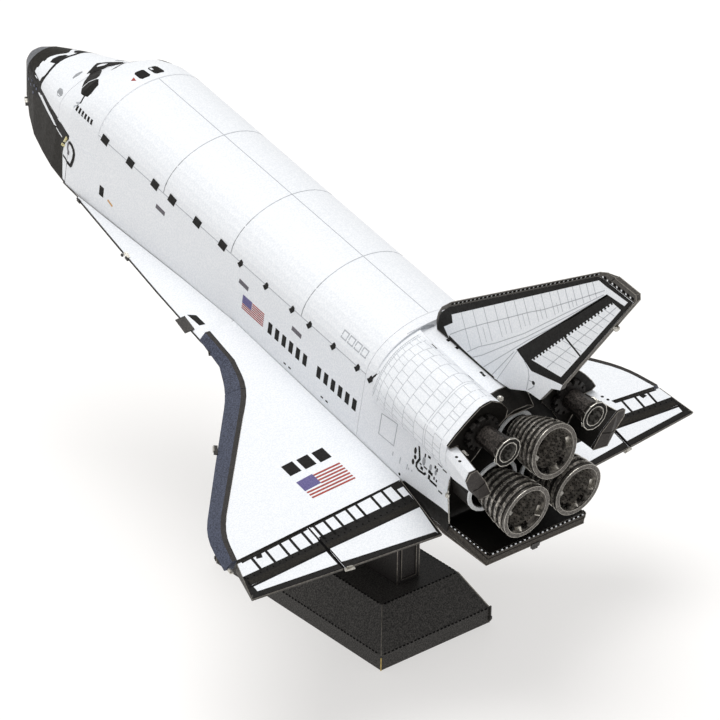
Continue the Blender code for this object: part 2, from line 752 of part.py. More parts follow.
def make_body_flap():
    """Open tray under the engines: a top sheet with its three free sides folded down."""
    bm = bmesh.new()
    x, y0, y1 = FLAP_HALF, FLAP_FRONT_Y, FLAP_REAR_Y
    front, rear = FLAP_FRONT_DEPTH, FLAP_REAR_DEPTH
    corners = ((x, y0, front), (x, y1, rear), (-x, y1, rear), (-x, y0, front))
    upper = [bm.verts.new(Vector((a, b, FLAP_TOP_Z)) * MM) for a, b, _ in corners]
    lower = [bm.verts.new(Vector((a, b, FLAP_TOP_Z - depth)) * MM) for a, b, depth in corners]
    bm.faces.new(upper)
    for i in range(3):
        bm.faces.new((upper[i + 1], upper[i], lower[i], lower[i + 1]))
    bmesh.ops.recalc_face_normals(bm, faces=bm.faces)
    if max(bm.faces, key=lambda f: f.calc_center_median().z).normal.z < 0:
        bmesh.ops.reverse_faces(bm, faces=bm.faces)
    mesh = bpy.data.meshes.new("body_flap")
    bm.to_mesh(mesh)
    bm.free()
    flap = add_object("body_flap", mesh, "black_print", ORBITER)
    solidify = flap.modifiers.new("Sheet", "SOLIDIFY")
    solidify.thickness = SHEET * MM
    solidify.offset = -1.0
    solidify.use_even_offset = True


def make_stand():
    """Folded base with sloping sides, open below, and the post that carries the belly."""
    bm = bmesh.new()
    levels = (
        (STAND_HALF_X, STAND_HALF_Y, 0.0),
        (STAND_HALF_X, STAND_HALF_Y, SKIRT_H),
        (STAND_TOP_HALF_X, STAND_TOP_HALF_Y, STAND_H),
    )
    loops = []
    for a, b, z in levels:
        corners = ((a, -b), (a, b), (-a, b), (-a, -b))
        loops.append([bm.verts.new(Vector((x, STAND_Y + y, z)) * MM) for x, y in corners])
    for low, high in zip(loops[:-1], loops[1:]):
        for i in range(4):
            j = (i + 1) % 4
            bm.faces.new((low[i], low[j], high[j], high[i]))
    bm.faces.new(loops[-1])
    bmesh.ops.recalc_face_normals(bm, faces=bm.faces)
    mesh = bpy.data.meshes.new("stand_base")
    bm.to_mesh(mesh)
    bm.free()
    base = add_object("stand_base", mesh, "black_print")
    solidify = base.modifiers.new("Sheet", "SOLIDIFY")
    solidify.thickness = SHEET * MM
    solidify.offset = -1.0
    solidify.use_even_offset = True
    tilt = math.radians(NOSE_UP_DEG)
    rings = []
    for y in (POST_FRONT_Y, POST_REAR_Y):
        along = (y - ORBITER_Y - (BELLY_Z - SHEET) * math.sin(tilt)) / math.cos(tilt)
        z_high = ORBITER_Z - along * math.sin(tilt) + (BELLY_Z - SHEET) * math.cos(tilt) - GAP
        x = POST_HALF_X
        low = STAND_H + GAP
        rings.append(at_y(y, ((x, low), (x, z_high), (-x, z_high), (-x, low))))
    add_object("stand_post", loft("stand_post", rings), "black_print")


remove_everything()
PARTS = new_collection("orbiter_display_model")
CUTTERS = new_collection("cutters")
ORBITER = bpy.data.objects.new("orbiter_frame", None)
PARTS.objects.link(ORBITER)
ORBITER.location = Vector((0.0, ORBITER_Y, ORBITER_Z)) * MM
ORBITER.rotation_euler = (math.radians(-NOSE_UP_DEG), 0.0, 0.0)

make_nose()
make_cockpit()
make_fuselage()
make_strakes()
make_wings()
make_elevons()
make_fin()
make_pods()
make_tail_plates()
make_housings()
make_engines()
make_pod_nozzles()
make_hood()
make_body_flap()
make_stand()
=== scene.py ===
"""Looks for the folded sheet-metal display model of a winged orbiter on its black stand."""

import json
import math

import bmesh
import bpy
from mathutils import Matrix, Vector
from mathutils.bvhtree import BVHTree
from mathutils.geometry import delaunay_2d_cdt


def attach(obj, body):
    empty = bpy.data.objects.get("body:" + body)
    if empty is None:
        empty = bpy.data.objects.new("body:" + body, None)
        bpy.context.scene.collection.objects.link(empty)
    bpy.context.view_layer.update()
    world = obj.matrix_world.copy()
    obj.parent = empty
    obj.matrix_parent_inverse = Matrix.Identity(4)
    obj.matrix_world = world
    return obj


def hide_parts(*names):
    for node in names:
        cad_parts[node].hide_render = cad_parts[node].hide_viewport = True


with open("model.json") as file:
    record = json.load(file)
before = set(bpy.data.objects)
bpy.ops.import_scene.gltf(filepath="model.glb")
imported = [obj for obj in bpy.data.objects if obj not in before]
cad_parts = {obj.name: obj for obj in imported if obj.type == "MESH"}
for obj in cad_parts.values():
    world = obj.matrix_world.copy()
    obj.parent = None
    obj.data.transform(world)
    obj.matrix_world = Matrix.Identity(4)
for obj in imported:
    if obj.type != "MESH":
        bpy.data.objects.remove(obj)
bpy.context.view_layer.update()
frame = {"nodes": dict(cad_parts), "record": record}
NODES = frame["nodes"]

MM = 0.001
TILT = math.radians(12.68)
ORBITER_Y = -65.588
ORBITER_Z = 52.19
SIDES = (("port", 1), ("starboard", -1))

# The orbiter's own frame, in millimetres: x to its left wing, s aft from the nose, z up.
TO_WORLD = (
    Matrix.Translation((0.0, ORBITER_Y * MM, ORBITER_Z * MM))
    @ Matrix.Rotation(-TILT, 4, "X")
    @ Matrix.Scale(MM, 4)
)
TO_ORBITER = TO_WORLD.inverted()
STAND = Matrix.Scale(MM, 4)

# Camera, fitted to the photograph.
AZIMUTH, ELEVATION, ROLL = math.radians(139.587), math.radians(28.584), math.radians(0.826)
CAMERA_TARGET = Vector((-38.041, 31.741 + ORBITER_Y, -45.997 + ORBITER_Z))
CAMERA_DISTANCE = 649.525
FOCAL_PIXELS, PHOTO_PIXELS, SENSOR = 4226.545, 720, 36.0


def make_camera():
    level = math.cos(ELEVATION)
    back = Vector((math.sin(AZIMUTH) * level, -math.cos(AZIMUTH) * level, math.sin(ELEVATION)))
    right = Vector((0, 0, 1)).cross(back).normalized()
    up = back.cross(right)
    turn = Matrix((
        right * math.cos(ROLL) + up * math.sin(ROLL), -right * math.sin(ROLL) + up * math.cos(ROLL), back,
    )).transposed().to_4x4()
    data = bpy.data.cameras.new("camera")
    data.sensor_width = SENSOR
    data.lens = FOCAL_PIXELS / PHOTO_PIXELS * SENSOR
    data.clip_start = 0.05
    data.clip_end = 10.0
    camera = bpy.data.objects.new("camera", data)
    bpy.context.scene.collection.objects.link(camera)
    camera.matrix_world = Matrix.Translation((CAMERA_TARGET + back * CAMERA_DISTANCE) * MM) @ turn
    bpy.context.scene.camera = camera


make_camera()


# Materials.
class Nodes:
    """A small helper that wires up one procedural material."""

    def __init__(self, name, colour, roughness, metallic, specular):
        self.material = bpy.data.materials.new(name)
        self.material.use_nodes = True
        self.tree = self.material.node_tree
        self.shader = self.tree.nodes["Principled BSDF"]
        self.shader.inputs["Base Color"].default_value = (*colour, 1.0)
        self.shader.inputs["Roughness"].default_value = roughness
        self.shader.inputs["Metallic"].default_value = metallic
        self.shader.inputs["Specular IOR Level"].default_value = specular
        self.place = self.tree.nodes.new("ShaderNodeTexCoord").outputs["Object"]

    def node(self, kind, **values):
        made = self.tree.nodes.new(kind)
        for key, value in values.items():
            made.inputs[key].default_value = value
        return made

    def link(self, a, b):
        self.tree.links.new(a, b)

    def noise(self, per_mm, detail):
        texture = self.node("ShaderNodeTexNoise", Scale=per_mm / MM, Detail=detail, Roughness=0.6)
        self.link(self.place, texture.inputs["Vector"])
        return texture.outputs["Fac"]

    def ramp(self, fac, low, first, high, second):
        node = self.tree.nodes.new("ShaderNodeValToRGB")
        for element, at, colour in zip(node.color_ramp.elements, (low, high), (first, second)):
            element.position = at
            element.color = (*colour, 1.0)
        self.link(fac, node.inputs["Fac"])
        return node.outputs["Color"]

    def spread(self, fac, low, high, out_low, out_high):
        node = self.node("ShaderNodeMapRange")
        for index, value in enumerate((low, high, out_low, out_high)):
            node.inputs[index + 1].default_value = value
        self.link(fac, node.inputs["Value"])
        return node.outputs["Result"]

    def mix(self, fac, a, b):
        node = self.tree.nodes.new("ShaderNodeMix")
        node.data_type = "RGBA"
        for index, socket in ((0, fac), (6, a), (7, b)):
            self.link(socket, node.inputs[index])
        return node.outputs[2]

    def joined(self, operation, a, b, kind="ShaderNodeMath", output="Value"):
        """A math node on two values, each a socket or a constant."""
        node = self.tree.nodes.new(kind)
        node.operation = operation
        for socket, value in zip(node.inputs, (a, b)):
            if isinstance(value, bpy.types.NodeSocket):
                self.link(value, socket)
            else:
                socket.default_value = value
        return node.outputs[output]

    def vectors(self, operation, a, b, output="Value"):
        return self.joined(operation, a, b, "ShaderNodeVectorMath", output)

    def normal(self):
        return self.tree.nodes.new("ShaderNodeNewGeometry").outputs["True Normal"]

    def zone(self, planes):
        """1 where the place is over the limit of every plane: (x, s, z, limit), in millimetres."""
        share = 1.0
        for x, s, z, limit in planes:
            row = TO_ORBITER.transposed() @ Vector((x, s, z, 0.0))
            limit -= row.w
            dot = self.vectors("DOT_PRODUCT", self.place, row.xyz)
            share = self.joined("MULTIPLY", share, self.spread(dot, limit - 0.01, limit + 0.01, 0.0, 1.0))
        return share

    def zones(self, groups):
        share = 0.0
        for planes in groups:
            share = self.joined("MAXIMUM", share, self.zone(planes))
        return share

    def surface(self, colour, grains, patches_per_mm, roughness):
        """Its colour, a roughness that wanders from patch to patch, and a fine bump."""
        self.link(colour, self.shader.inputs["Base Color"])
        wander = self.spread(self.noise(patches_per_mm, 3.0), 0.3, 0.7, roughness - 0.07, roughness + 0.09)
        self.link(wander, self.shader.inputs["Roughness"])
        bump = self.node("ShaderNodeBump", Strength=0.5, Distance=0.006 * MM)
        self.link(grains, bump.inputs["Height"])
        self.link(bump.outputs["Normal"], self.shader.inputs["Normal"])
        return self.material


def printed(name, colour, shade, roughness, metallic=0.0, grain=4.0, low=0.42, high=0.62, specular=0.5):
    """Ink on sheet: its colour is broken by a fine grain towards a shade."""
    m = Nodes(name, colour, roughness, metallic, specular)
    grains = m.noise(grain, 2.0)
    return m.surface(m.ramp(grains, low, shade, high, colour), grains, grain / 3, roughness)


def by_facing(name, white, shade, other, edge, axis, low, high, specular=0.45, groups=()):
    """White where a face looks up or out along one axis, another print against it, bare edges between."""
    m = Nodes(name, white, 0.5, 0.0, specular)
    parts = m.tree.nodes.new("ShaderNodeSeparateXYZ")
    m.link(m.normal(), parts.inputs["Vector"])
    side = parts.outputs["Z" if axis == "up" else "X"]
    if axis == "starboard":
        side = m.joined("MULTIPLY", side, -1.0)
    if axis == "sideways":
        side = m.joined("ABSOLUTE", side, 0.0)
    grains = m.noise(5.0, 2.0)
    face = m.ramp(grains, 0.40, shade, 0.60, white)
    rim = m.ramp(grains, 0.40, tuple(c * 0.4 for c in edge), 0.60, edge)
    if groups:
        face = m.mix(m.zones(groups), face, rim)
    under = m.ramp(grains, 0.40, tuple(c * 1.5 for c in other), 0.60, other)
    is_face = m.spread(side, high - 0.01, high + 0.01, 0.0, 1.0)
    is_under = m.spread(side, low + 0.01, low - 0.01, 0.0, 1.0)
    return m.surface(m.mix(is_under, m.mix(is_face, rim, face), under), grains, 1.5, 0.5)


def hollow(name, centre, front, rear):
    """White outside; painted shade, near black, on the faces behind the front that look back at a centre, and
    dark on the rear rim.
    """
    m = Nodes(name, PAPER, 0.5, 0.0, 0.45)
    away = m.vectors("SUBTRACT", m.place, TO_WORLD @ Vector(centre), "Vector")
    facing = m.vectors("DOT_PRODUCT", away, m.normal())
    grains = m.noise(5.0, 2.0)
    # Painted shade of the hollow's inside: near black.
    inside_shade = m.ramp(grains, 0.40, (0.012, 0.0105, 0.009), 0.60, (0.006, 0.0055, 0.005))
    inward = m.joined("MULTIPLY", m.spread(facing, -0.00005, 0.00005, 1.0, 0.0), m.zone(((0, 1, 0, front),)))
    dark = m.joined("MAXIMUM", inward, m.zone(((0, 1, 0, rear),)))
    return m.surface(m.mix(dark, m.ramp(grains, 0.40, PAPER_SHADE, 0.60, PAPER), inside_shade), grains, 1.5,
                     0.5)


# Prints of the solids.
WHITE = printed("white_print", (0.865, 0.88, 0.905), (0.775, 0.80, 0.835), 0.5)
BLACK = printed("black_print", (0.013, 0.0118, 0.0105), (0.022, 0.020, 0.0175), 0.5, 0, 6, specular=0.22)
EDGE = printed("edge_print", (0.085, 0.10, 0.16), (0.022, 0.024, 0.035), 0.5, 0, 6, 0.40, 0.66)
NOSE = printed("nose_print", (0.17, 0.177, 0.195), (0.10, 0.103, 0.11), 0.5, 0, 6, specular=0.25)
CHIN = printed("chin_print", (0.033, 0.031, 0.027), (0.020, 0.018, 0.016), 0.55, 0, 6, specular=0.08)
BASE = printed("stand_print", (0.088, 0.083, 0.077), (0.019, 0.018, 0.017), 0.5, 0, 5, 0.38, 0.66, 0.2)
POST = printed("post_print", (0.042, 0.038, 0.036), (0.013, 0.012, 0.0115), 0.5, 0, 5, 0.38, 0.66, 0.15)
DEEP = printed("deep_black_print", (0.010, 0.0085, 0.007), (0.004, 0.0035, 0.003), 0.55, 0, 5, specular=0.10)
FACET = printed("housing_print", (0.050, 0.043, 0.039), (0.030, 0.026, 0.024), 0.5, 0, 5, specular=0.2)
BARREL = printed("nozzle_barrel", (0.085, 0.074, 0.066), (0.022, 0.019, 0.017), 0.38, 0.75)
COLLAR = printed("pale_collar", (0.90, 0.92, 0.93), (0.74, 0.76, 0.77), 0.42)
METAL = printed("dark_metal", (0.11, 0.105, 0.10), (0.055, 0.05, 0.047), 0.34, 0.85, 3)
SKIRT = printed("skirt_print", (0.060, 0.052, 0.044), (0.024, 0.021, 0.018), 0.5, 0, 5, specular=0.15)
# Inks of the printed details.
BLACK_INK = printed("black_ink", (0.007, 0.0065, 0.006), (0.014, 0.013, 0.012), 0.6, specular=0.15)
BROWN_INK = printed("brown_black_ink", (0.024, 0.021, 0.017),
                    (0.012, 0.011, 0.0095), 0.55, 0, 5, specular=0.12)
GREY_LINE = printed("grey_line_ink", (0.38, 0.40, 0.43), (0.48, 0.50, 0.53), 0.5)
PALE_LINE = printed("pale_line_ink", (0.46, 0.48, 0.51), (0.58, 0.60, 0.63), 0.5)
SILL_GREY = printed("sill_line_ink", (0.40, 0.42, 0.45), (0.50, 0.52, 0.55), 0.5)
GREY_INK = printed("grey_ink", (0.26, 0.275, 0.29), (0.34, 0.35, 0.37), 0.5)
DASH_INK = printed("dark_grey_ink", (0.07, 0.063, 0.08), (0.12, 0.11, 0.13), 0.5, 0, 6)
RED_INK = printed("red_ink", (0.42, 0.05, 0.03), (0.27, 0.04, 0.03), 0.5)
BLUE_INK = printed("blue_ink", (0.07, 0.055, 0.20), (0.13, 0.11, 0.27), 0.5, 0, 6)
SPECK_INK = printed("speck_ink", (0.10, 0.12, 0.22), (0.03, 0.035, 0.06), 0.5, 0, 6)
ORANGE_INK = printed("orange_ink", (0.66, 0.36, 0.09), (0.55, 0.30, 0.10), 0.5)
HOLE = printed("perforation", (0.004, 0.0035, 0.0035), (0.002, 0.002, 0.002), 0.8, specular=0.05)
# Bare metal.
BRIGHT = printed("bare_sheet_edge", (0.62, 0.60, 0.55), (0.42, 0.40, 0.36), 0.28, 0.9, 3)
DULL_EDGE = printed("dull_sheet_edge", (0.30, 0.28, 0.25), (0.18, 0.165, 0.145), 0.35, 0.85, 3)
DARK_EDGE = printed("dark_sheet_edge", (0.045, 0.040, 0.035), (0.02, 0.018, 0.016), 0.45, 0.3)
BRASS = printed("gilt_sheet_edge", (0.55, 0.42, 0.16), (0.35, 0.26, 0.10), 0.32, 0.85, 3)
GILT = printed("pale_gilt_tab", (0.82, 0.76, 0.48), (0.50, 0.44, 0.20), 0.35, 0.4, 3)
RIB = printed("engine_ribs", (0.66, 0.61, 0.54), (0.09, 0.083, 0.074), 0.32, 0.5, 2.6, 0.42, 0.66)
RIM = printed("engine_rim", (0.17, 0.158, 0.142), (0.055, 0.05, 0.046), 0.36, 0.8, 5)
# The bells' core: near black as painted shade between the ribs. Also dresses the pod nozzle rings.
CORE = printed("engine_core", (0.045, 0.04, 0.037), (0.014, 0.013, 0.012), 0.45, 0.6, 6)
LINER = printed("engine_liner", (0.50, 0.465, 0.42), (0.10, 0.092, 0.084), 0.40, 0.45, 1.8, 0.38, 0.68)
SLEEVE = printed("nozzle_sleeve", (0.30, 0.29, 0.27), (0.07, 0.066, 0.06), 0.36, 0.6, 2)
# Solids whose print changes with the way a face looks.
PAPER, PAPER_SHADE = (0.86, 0.875, 0.90), (0.76, 0.785, 0.82)
SHEET = (PAPER, PAPER_SHADE)
INK_DARK, EDGE_BROWN, PLATE_BLACK = (0.012, 0.011, 0.010), (0.062, 0.054, 0.045), (0.010, 0.009, 0.008)
CHIN_BROWN = (0.024, 0.021, 0.017)
WING_PRINT = by_facing("wing_print", *SHEET, INK_DARK, EDGE_BROWN, "up", -0.3, 0.5, groups=(
    ((1, 0, 0, 38.5), (0, 1, 0, 103.0)), ((-1, 0, 0, 38.5), (0, 1, 0, 103.0)),
))
FIN_PRINT = by_facing("fin_print", *SHEET, EDGE_BROWN, EDGE_BROWN, "sideways", -0.5, 0.95, groups=(
    ((0, -0.673, 0.7398, -45.4),), ((0, -1, 0, -91.2),), ((0, 0, 1, 44.85),), ((0, 0.9206, -0.391, 95.25),),
    ((0, 0.301, -0.954, 9.7),),
))
ROOT_PRINT = by_facing("fin_root_print", *SHEET, EDGE_BROWN, EDGE_BROWN, "sideways", -0.5, 0.95)
SHELL_PRINT = by_facing("nose_shell_print", *SHEET, CHIN_BROWN, CHIN_BROWN, "up", -1.2, -1.1, groups=(
    ((0, -1, 0, -5.5),), ((0, 0, -1, -7.3),),
))
LEAD_PRINT = by_facing("leading_edge_print", (0.035, 0.030, 0.027), (0.014, 0.013, 0.012), INK_DARK,
                       (0.080, 0.091, 0.135), "up", -0.3, 0.955, specular=0.3)
FLAP_PRINT = by_facing("flap_print", (0.004, 0.0036, 0.0032), (0.007, 0.006, 0.005), INK_DARK,
                       (0.070, 0.061, 0.051), "up", -0.5, 0.7, specular=0.1)
FINISH = {
    "white_print": WHITE, "black_print": BLACK, "edge_print": EDGE, "nose_print": NOSE,
    "pale_collar": COLLAR, "dark_metal": METAL,
}


def both(*stems):
    return [f"{stem}_{side}" for stem in stems for side, _ in SIDES]


def dress(material, names):
    for name in names:
        NODES[name].data.materials.clear()
        NODES[name].data.materials.append(material)


for row in frame["record"]["subparts"]:
    dress(FINISH[row["material_slot"]], [row["node"]])
dress(CHIN, ["nose_chin"])
dress(BASE, ["stand_base"])
dress(POST, ["stand_post"])
dress(DEEP, both("pod_plate") + ["aft_bulkhead", "engine_hood"])
dress(FACET, both("thruster_housing"))
dress(BARREL, both("pod_nozzle"))
dress(CORE, both("pod_nozzle_ring"))
dress(WING_PRINT, both("wing", "strake", "elevon_inboard", "elevon_outboard"))
dress(LEAD_PRINT, both("leading_edge_front", "leading_edge_outer"))
dress(FIN_PRINT, ["fin", "rudder"])
dress(ROOT_PRINT, ["fin_root"])
dress(SHELL_PRINT, ["nose_upper"])
dress(FLAP_PRINT, ["body_flap"])
# The aft body's hollow inside is darkened by painted shade.
dress(hollow("tail_print_and_inner_shade", (0.0, 103.0, 9.5), 99.0, 107.08), ["aft_fuselage"])
for side, sign in SIDES:
    outer = by_facing("pack_print_" + side, *SHEET, PLATE_BLACK, PLATE_BLACK, side, -0.4, -0.2)
    dress(outer, ["thruster_pack_" + side])


# Prints: thin closed layers of ink that follow the solids.
class Chart:
    """Maps two print coordinates onto a surface by a ray; scale holds the millimetres in a unit of each."""

    def __init__(self, names, ray, scale=(1.0, 1.0)):
        verts, faces = [], []
        for name in names:
            mesh = NODES[name].data
            start = len(verts)
            verts += [TO_ORBITER @ v.co for v in mesh.vertices]
            faces += [[start + i for i in p.vertices] for p in mesh.polygons]
        self.tree = BVHTree.FromPolygons(verts, faces)
        self.ray = ray
        self.scale = Vector(scale)

    def at(self, u, v):
        start, way = self.ray(u, v)
        way = Vector(way).normalized()
        point, normal, _, _ = self.tree.ray_cast(Vector(start), way)
        if point is None:
            return None
        return point, -normal if normal.dot(way) > 0 else normal


def side_chart(names, sign):
    """Station and height on the left or right flank."""
    return Chart(names, lambda s, z: ((sign * 60, s, z), (-sign, 0, 0)))


def top_chart(names, sign):
    """Distance out from the middle and station, seen from above."""
    return Chart(names, lambda x, s: ((sign * x, s, 80), (0, 0, -1)))


def aft_chart(names, sign):
    """Distance out from the middle and height, seen from behind."""
    return Chart(names, lambda x, z: ((sign * x, 150, z), (0, -1, 0)))


def round_chart(names, sign, z_axis, radius):
    """Station and degrees up from the horizontal round an axis along the body."""

    def ray(s, degrees):
        turn = math.radians(degrees)
        way = (sign * math.cos(turn), 0, math.sin(turn))
        return (way[0] * 60, s, z_axis + way[2] * 60), (-way[0], 0, -way[2])

    return Chart(names, ray, (1.0, math.radians(1) * radius))


class FlatChart:
    """Print coordinates on a flat sheet: by default station and height at one distance from the middle."""

    scale = Vector((1.0, 1.0))

    def __init__(self, x, out=None, rows=None):
        self.out = Vector(out or (math.copysign(1.0, x), 0.0, 0.0)).normalized()
        self.rows = [Vector(row) for row in rows or ((x, 0, 0), (0, 1, 0), (0, 0, 1))]

    def at(self, u, v):
        return self.rows[0] + self.rows[1] * u + self.rows[2] * v, self.out


def place_piece(name, bm, material, place=TO_WORLD):
    bmesh.ops.recalc_face_normals(bm, faces=bm.faces)
    mesh = bpy.data.meshes.new(name)
    bm.transform(place)
    bm.to_mesh(mesh)
    bm.free()
    mesh.materials.append(material)
    piece = bpy.data.objects.new(name, mesh)
    bpy.context.scene.collection.objects.link(piece)
    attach(piece, "root")
    return piece


def edges_of(outline):
    return zip(outline, outline[1:] + outline[:1])


def inside(p, outline):
    found = False
    for a, b in edges_of(outline):
        if (a.y > p.y) != (b.y > p.y):
            if p.x < (b.x - a.x) * (p.y - a.y) / (b.y - a.y) + a.x:
                found = not found
    return found


def near(p, a, b):
    along = b - a
    share = max(0.0, min(1.0, (p - a).dot(along) / max(1e-9, along.length_squared)))
    return (a + along * share - p).length


class Ink:
    """Collects patches, lines and dots of one colour into one piece."""

    every = []

    def __init__(self, name, material, slot=None, lift=0.022, depth=0.03):
        self.name, self.material, self.slot_name = name, material, slot
        self.lift, self.depth = lift, depth
        self.bm = bmesh.new()
        self.every.append(self)

    def layer(self, chart, points, triangles):
        """A closed layer over the triangles, whose corners are print coordinates."""
        upper, lower = [], []
        for u, v in points:
            hit = chart.at(u, v)
            upper.append(hit and self.bm.verts.new(hit[0] + hit[1] * self.lift))
            lower.append(hit and self.bm.verts.new(hit[0] - hit[1] * self.depth))
        sides = {}
        for tri in triangles:
            if any(upper[i] is None for i in tri):
                continue
            self.bm.faces.new([upper[i] for i in tri])
            self.bm.faces.new([lower[i] for i in reversed(tri)])
            for a, b in edges_of(tri):
                if (b, a) in sides:
                    del sides[(b, a)]
                else:
                    sides[(a, b)] = True
        for a, b in sides:
            self.bm.faces.new((upper[a], lower[a], lower[b], upper[b]))

    def flat_layer(self, chart, points, triangles):
        """The same, from points in millimetres on the unrolled print."""
        self.layer(chart, [(p.x / chart.scale.x, p.y / chart.scale.y) for p in points], triangles)

    def patch(self, chart, outline, step=0.7):
        flat = [Vector((u * chart.scale.x, v * chart.scale.y)) for u, v in outline]
        points = []
        for a, b in edges_of(flat):
            count = max(1, math.ceil((b - a).length / step))
            points += [a.lerp(b, i / count) for i in range(count)]
        loop = list(range(len(points)))
        low = Vector((min(p.x for p in flat), min(p.y for p in flat)))
        high = Vector((max(p.x for p in flat), max(p.y for p in flat)))
        for i in range(1, int((high.x - low.x) / step) + 1):
            for j in range(1, int((high.y - low.y) / step) + 1):
                p = Vector((low.x + i * step, low.y + j * step))
                if inside(p, flat) and min(near(p, a, b) for a, b in edges_of(flat)) > step * 0.3:
                    points.append(p)
        verts, _, faces, *_ = delaunay_2d_cdt(points, [], [loop], 1, 1e-5)
        triangles = [[face[0], face[k], face[k + 1]] for face in faces for k in range(1, len(face) - 1)]
        self.flat_layer(chart, verts, triangles)

    def line(self, chart, course, width, step=0.7, closed=False):
        flat = [Vector((u * chart.scale.x, v * chart.scale.y)) for u, v in course]
        if closed:
            flat.append(flat[0])
        ways = [(b - a).normalized() for a, b in zip(flat[:-1], flat[1:])]
        points, triangles = [], []
        for i, middle in enumerate(flat):
            before = ways[i - 1] if i else (ways[-1] if closed else ways[0])
            after = ways[i] if i < len(ways) else (ways[0] if closed else ways[-1])
            joint = Vector((-(before.y + after.y), before.x + after.x))
            joint = joint.normalized() if joint.length > 1e-6 else Vector((-after.y, after.x))
            reach = width / 2 / max(0.4, joint.dot(Vector((-after.y, after.x))))
            left, right = middle + joint * reach, middle - joint * reach
            if not i:
                points = [left, right]
                continue
            a, b = points[-2], points[-1]
            count = max(1, math.ceil((middle - flat[i - 1]).length / step))
            for k in range(1, count + 1):
                points += [a.lerp(left, k / count), b.lerp(right, k / count)]
                n = len(points)
                triangles += [[n - 4, n - 3, n - 1], [n - 4, n - 1, n - 2]]
        self.flat_layer(chart, points, triangles)

    def dot(self, chart, u, v, radius, sides=8, stretch=1.0):
        points = [(u, v)]
        for i in range(sides):
            turn = 2 * math.pi * i / sides
            a, b = radius * math.cos(turn), radius * stretch * math.sin(turn)
            points.append((u + a / chart.scale.x, v + b / chart.scale.y))
        self.layer(chart, points, [[0, 1 + i, 1 + (i + 1) % sides] for i in range(sides)])

    def box(self, chart, u, v, wide, high, turn=0.0):
        ct, st = math.cos(math.radians(turn)), math.sin(math.radians(turn))
        corners = []
        for a, b in ((-wide, -high), (wide, -high), (wide, high), (-wide, high)):
            across, up = (a * ct - b * st) / 2, (a * st + b * ct) / 2
            corners.append((u + across / chart.scale.x, v + up / chart.scale.y))
        self.patch(chart, corners)

    def dots(self, chart, start, end, pitch, radius):
        """A row of perforations."""
        start, end = Vector(start), Vector(end)
        count = max(1, round((end - start).length / pitch))
        for i in range(count + 1):
            self.dot(chart, *start.lerp(end, i / count), radius, 6)

    def done(self):
        place_piece(self.name, self.bm, self.material)


def place_inks():
    """Turns every ink drawn since the last call into a piece."""
    while Ink.every:
        Ink.every.pop(0).done()


BODY = ("nose_cap", "nose_chin", "nose_upper", "cockpit_section", "mid_fuselage", "bay_shell", "aft_fuselage")
NOSE_AXIS = 7.0
ROOF_AXIS = 12.2
DOOR_LINES = (27.95, 43.2, 58.7, 74.4, 88.35)
SILL_SQUARES = (29.4, 35.4, 41.2, 45.2, 51.0, 56.8)
SILL_NOTCHES = (60.9, 66.6, 72.4, 76.2, 81.4, 86.6, 89.4)
SILL_DASHES = (43.1, 62.3, 74.1)
SQUARE = ((-1.0, 11.66), (-0.58, 12.98), (0.92, 12.8), (0.5, 11.46))
NOTCH = ((-0.6, 11.6), (-0.2, 12.06), (-0.13, 12.35), (0.09, 12.63), (0.49, 12.44), (0.53, 11.91),
         (-0.06, 11.15))
DASH = ((-1.25, 8.66), (-1.12, 9.42), (0.92, 9.27), (0.85, 8.52))
FLAG_STRIPES = 7

black = Ink("black_prints_and_fold_shadow_body", BLACK_INK, "black_print")
sill_print = Ink("sill_prints", BLACK_INK, "black_print", 0.022, 0.12)
sill_line = Ink("sill_lines", SILL_GREY, "pale_collar", 0.012, 0.06)
grey_line = Ink("door_lines_and_step_shadow", GREY_LINE, "pale_collar")
grey_print = Ink("grey_prints_body", GREY_INK, "nose_print")
dash = Ink("dark_labels", DASH_INK, "nose_print")
red = Ink("red_prints", RED_INK)
blue = Ink("blue_prints", BLUE_INK)
orange = Ink("orange_prints", ORANGE_INK)

for side, sign in SIDES:
    roof = round_chart(BODY, sign, ROOF_AXIS, 8.6)
    flank = side_chart(BODY, sign)
    for s in DOOR_LINES:
        grey_line.line(roof, ((s, 38.0), (s, 90.0)), 0.13)
        grey_print.line(roof, ((s, 8.0), (s, 38.0)), 0.12)
        grey_print.line(flank, ((s, 12.25), (s, 13.8)), 0.14, 0.3)
    # The door's sill crosses a seam between two solids, so its prints lie on one flat sheet.
    sill = FlatChart(sign * 9.6)
    sill_line.line(sill, ((27.9, 12.13), (88.4, 12.13)), 0.17, 4.0)
    for stations, shape, ink, chart, step in (
        (SILL_SQUARES, SQUARE, sill_print, sill, 3.0), (SILL_NOTCHES, NOTCH, sill_print, sill, 3.0),
        (SILL_DASHES, DASH, dash, flank, 0.8),
    ):
        for station in stations:
            ink.patch(chart, [(station + s, z) for s, z in shape], step)
    black.box(flank, 29.75, 3.3, 1.0, 1.7)
    orange.box(flank, 31.9, 2.6, 1.25, 0.36, -18)
    # Plain upright blocks and outlined boxes stand where lettering is left off.
    for i in (0, 1, 2, 3, 4, 5, 7, 8, 9, 10, 11, 12):
        black.box(flank, 68.6 + i * 1.545, 5.75, 0.85, 1.9)
    name_row = round_chart(BODY, sign, ROOF_AXIS, 9.2)
    for i in range(6):
        black.box(name_row, 22.1 + i * 0.74, 5.0, 0.42, 0.8)
    for s in (82.2, 83.6, 85.0, 86.4):
        grey_line.line(roof, ((s, 11.0), (s + 1.0, 11.0), (s + 1.0, 17.5), (s, 17.5)), 0.16, 0.7, True)
    # Flag on the flank.
    for i in range(FLAG_STRIPES):
        start = 64.4 if i < 4 else 62.3
        red.box(flank, (start + 67.1) / 2, 7.175 - i * 0.35, 67.1 - start, 0.19)
    blue.box(flank, 63.3, 6.65, 2.05, 1.4)
    for s in (72.49, 73.56, 80.71, 81.76):
        black.box(flank, s, 2.3, 0.5, 0.24)
grey_line.line(top_chart(BODY, 1), ((0.0, 28.0), (0.0, 88.3)), 0.12, 2.0)

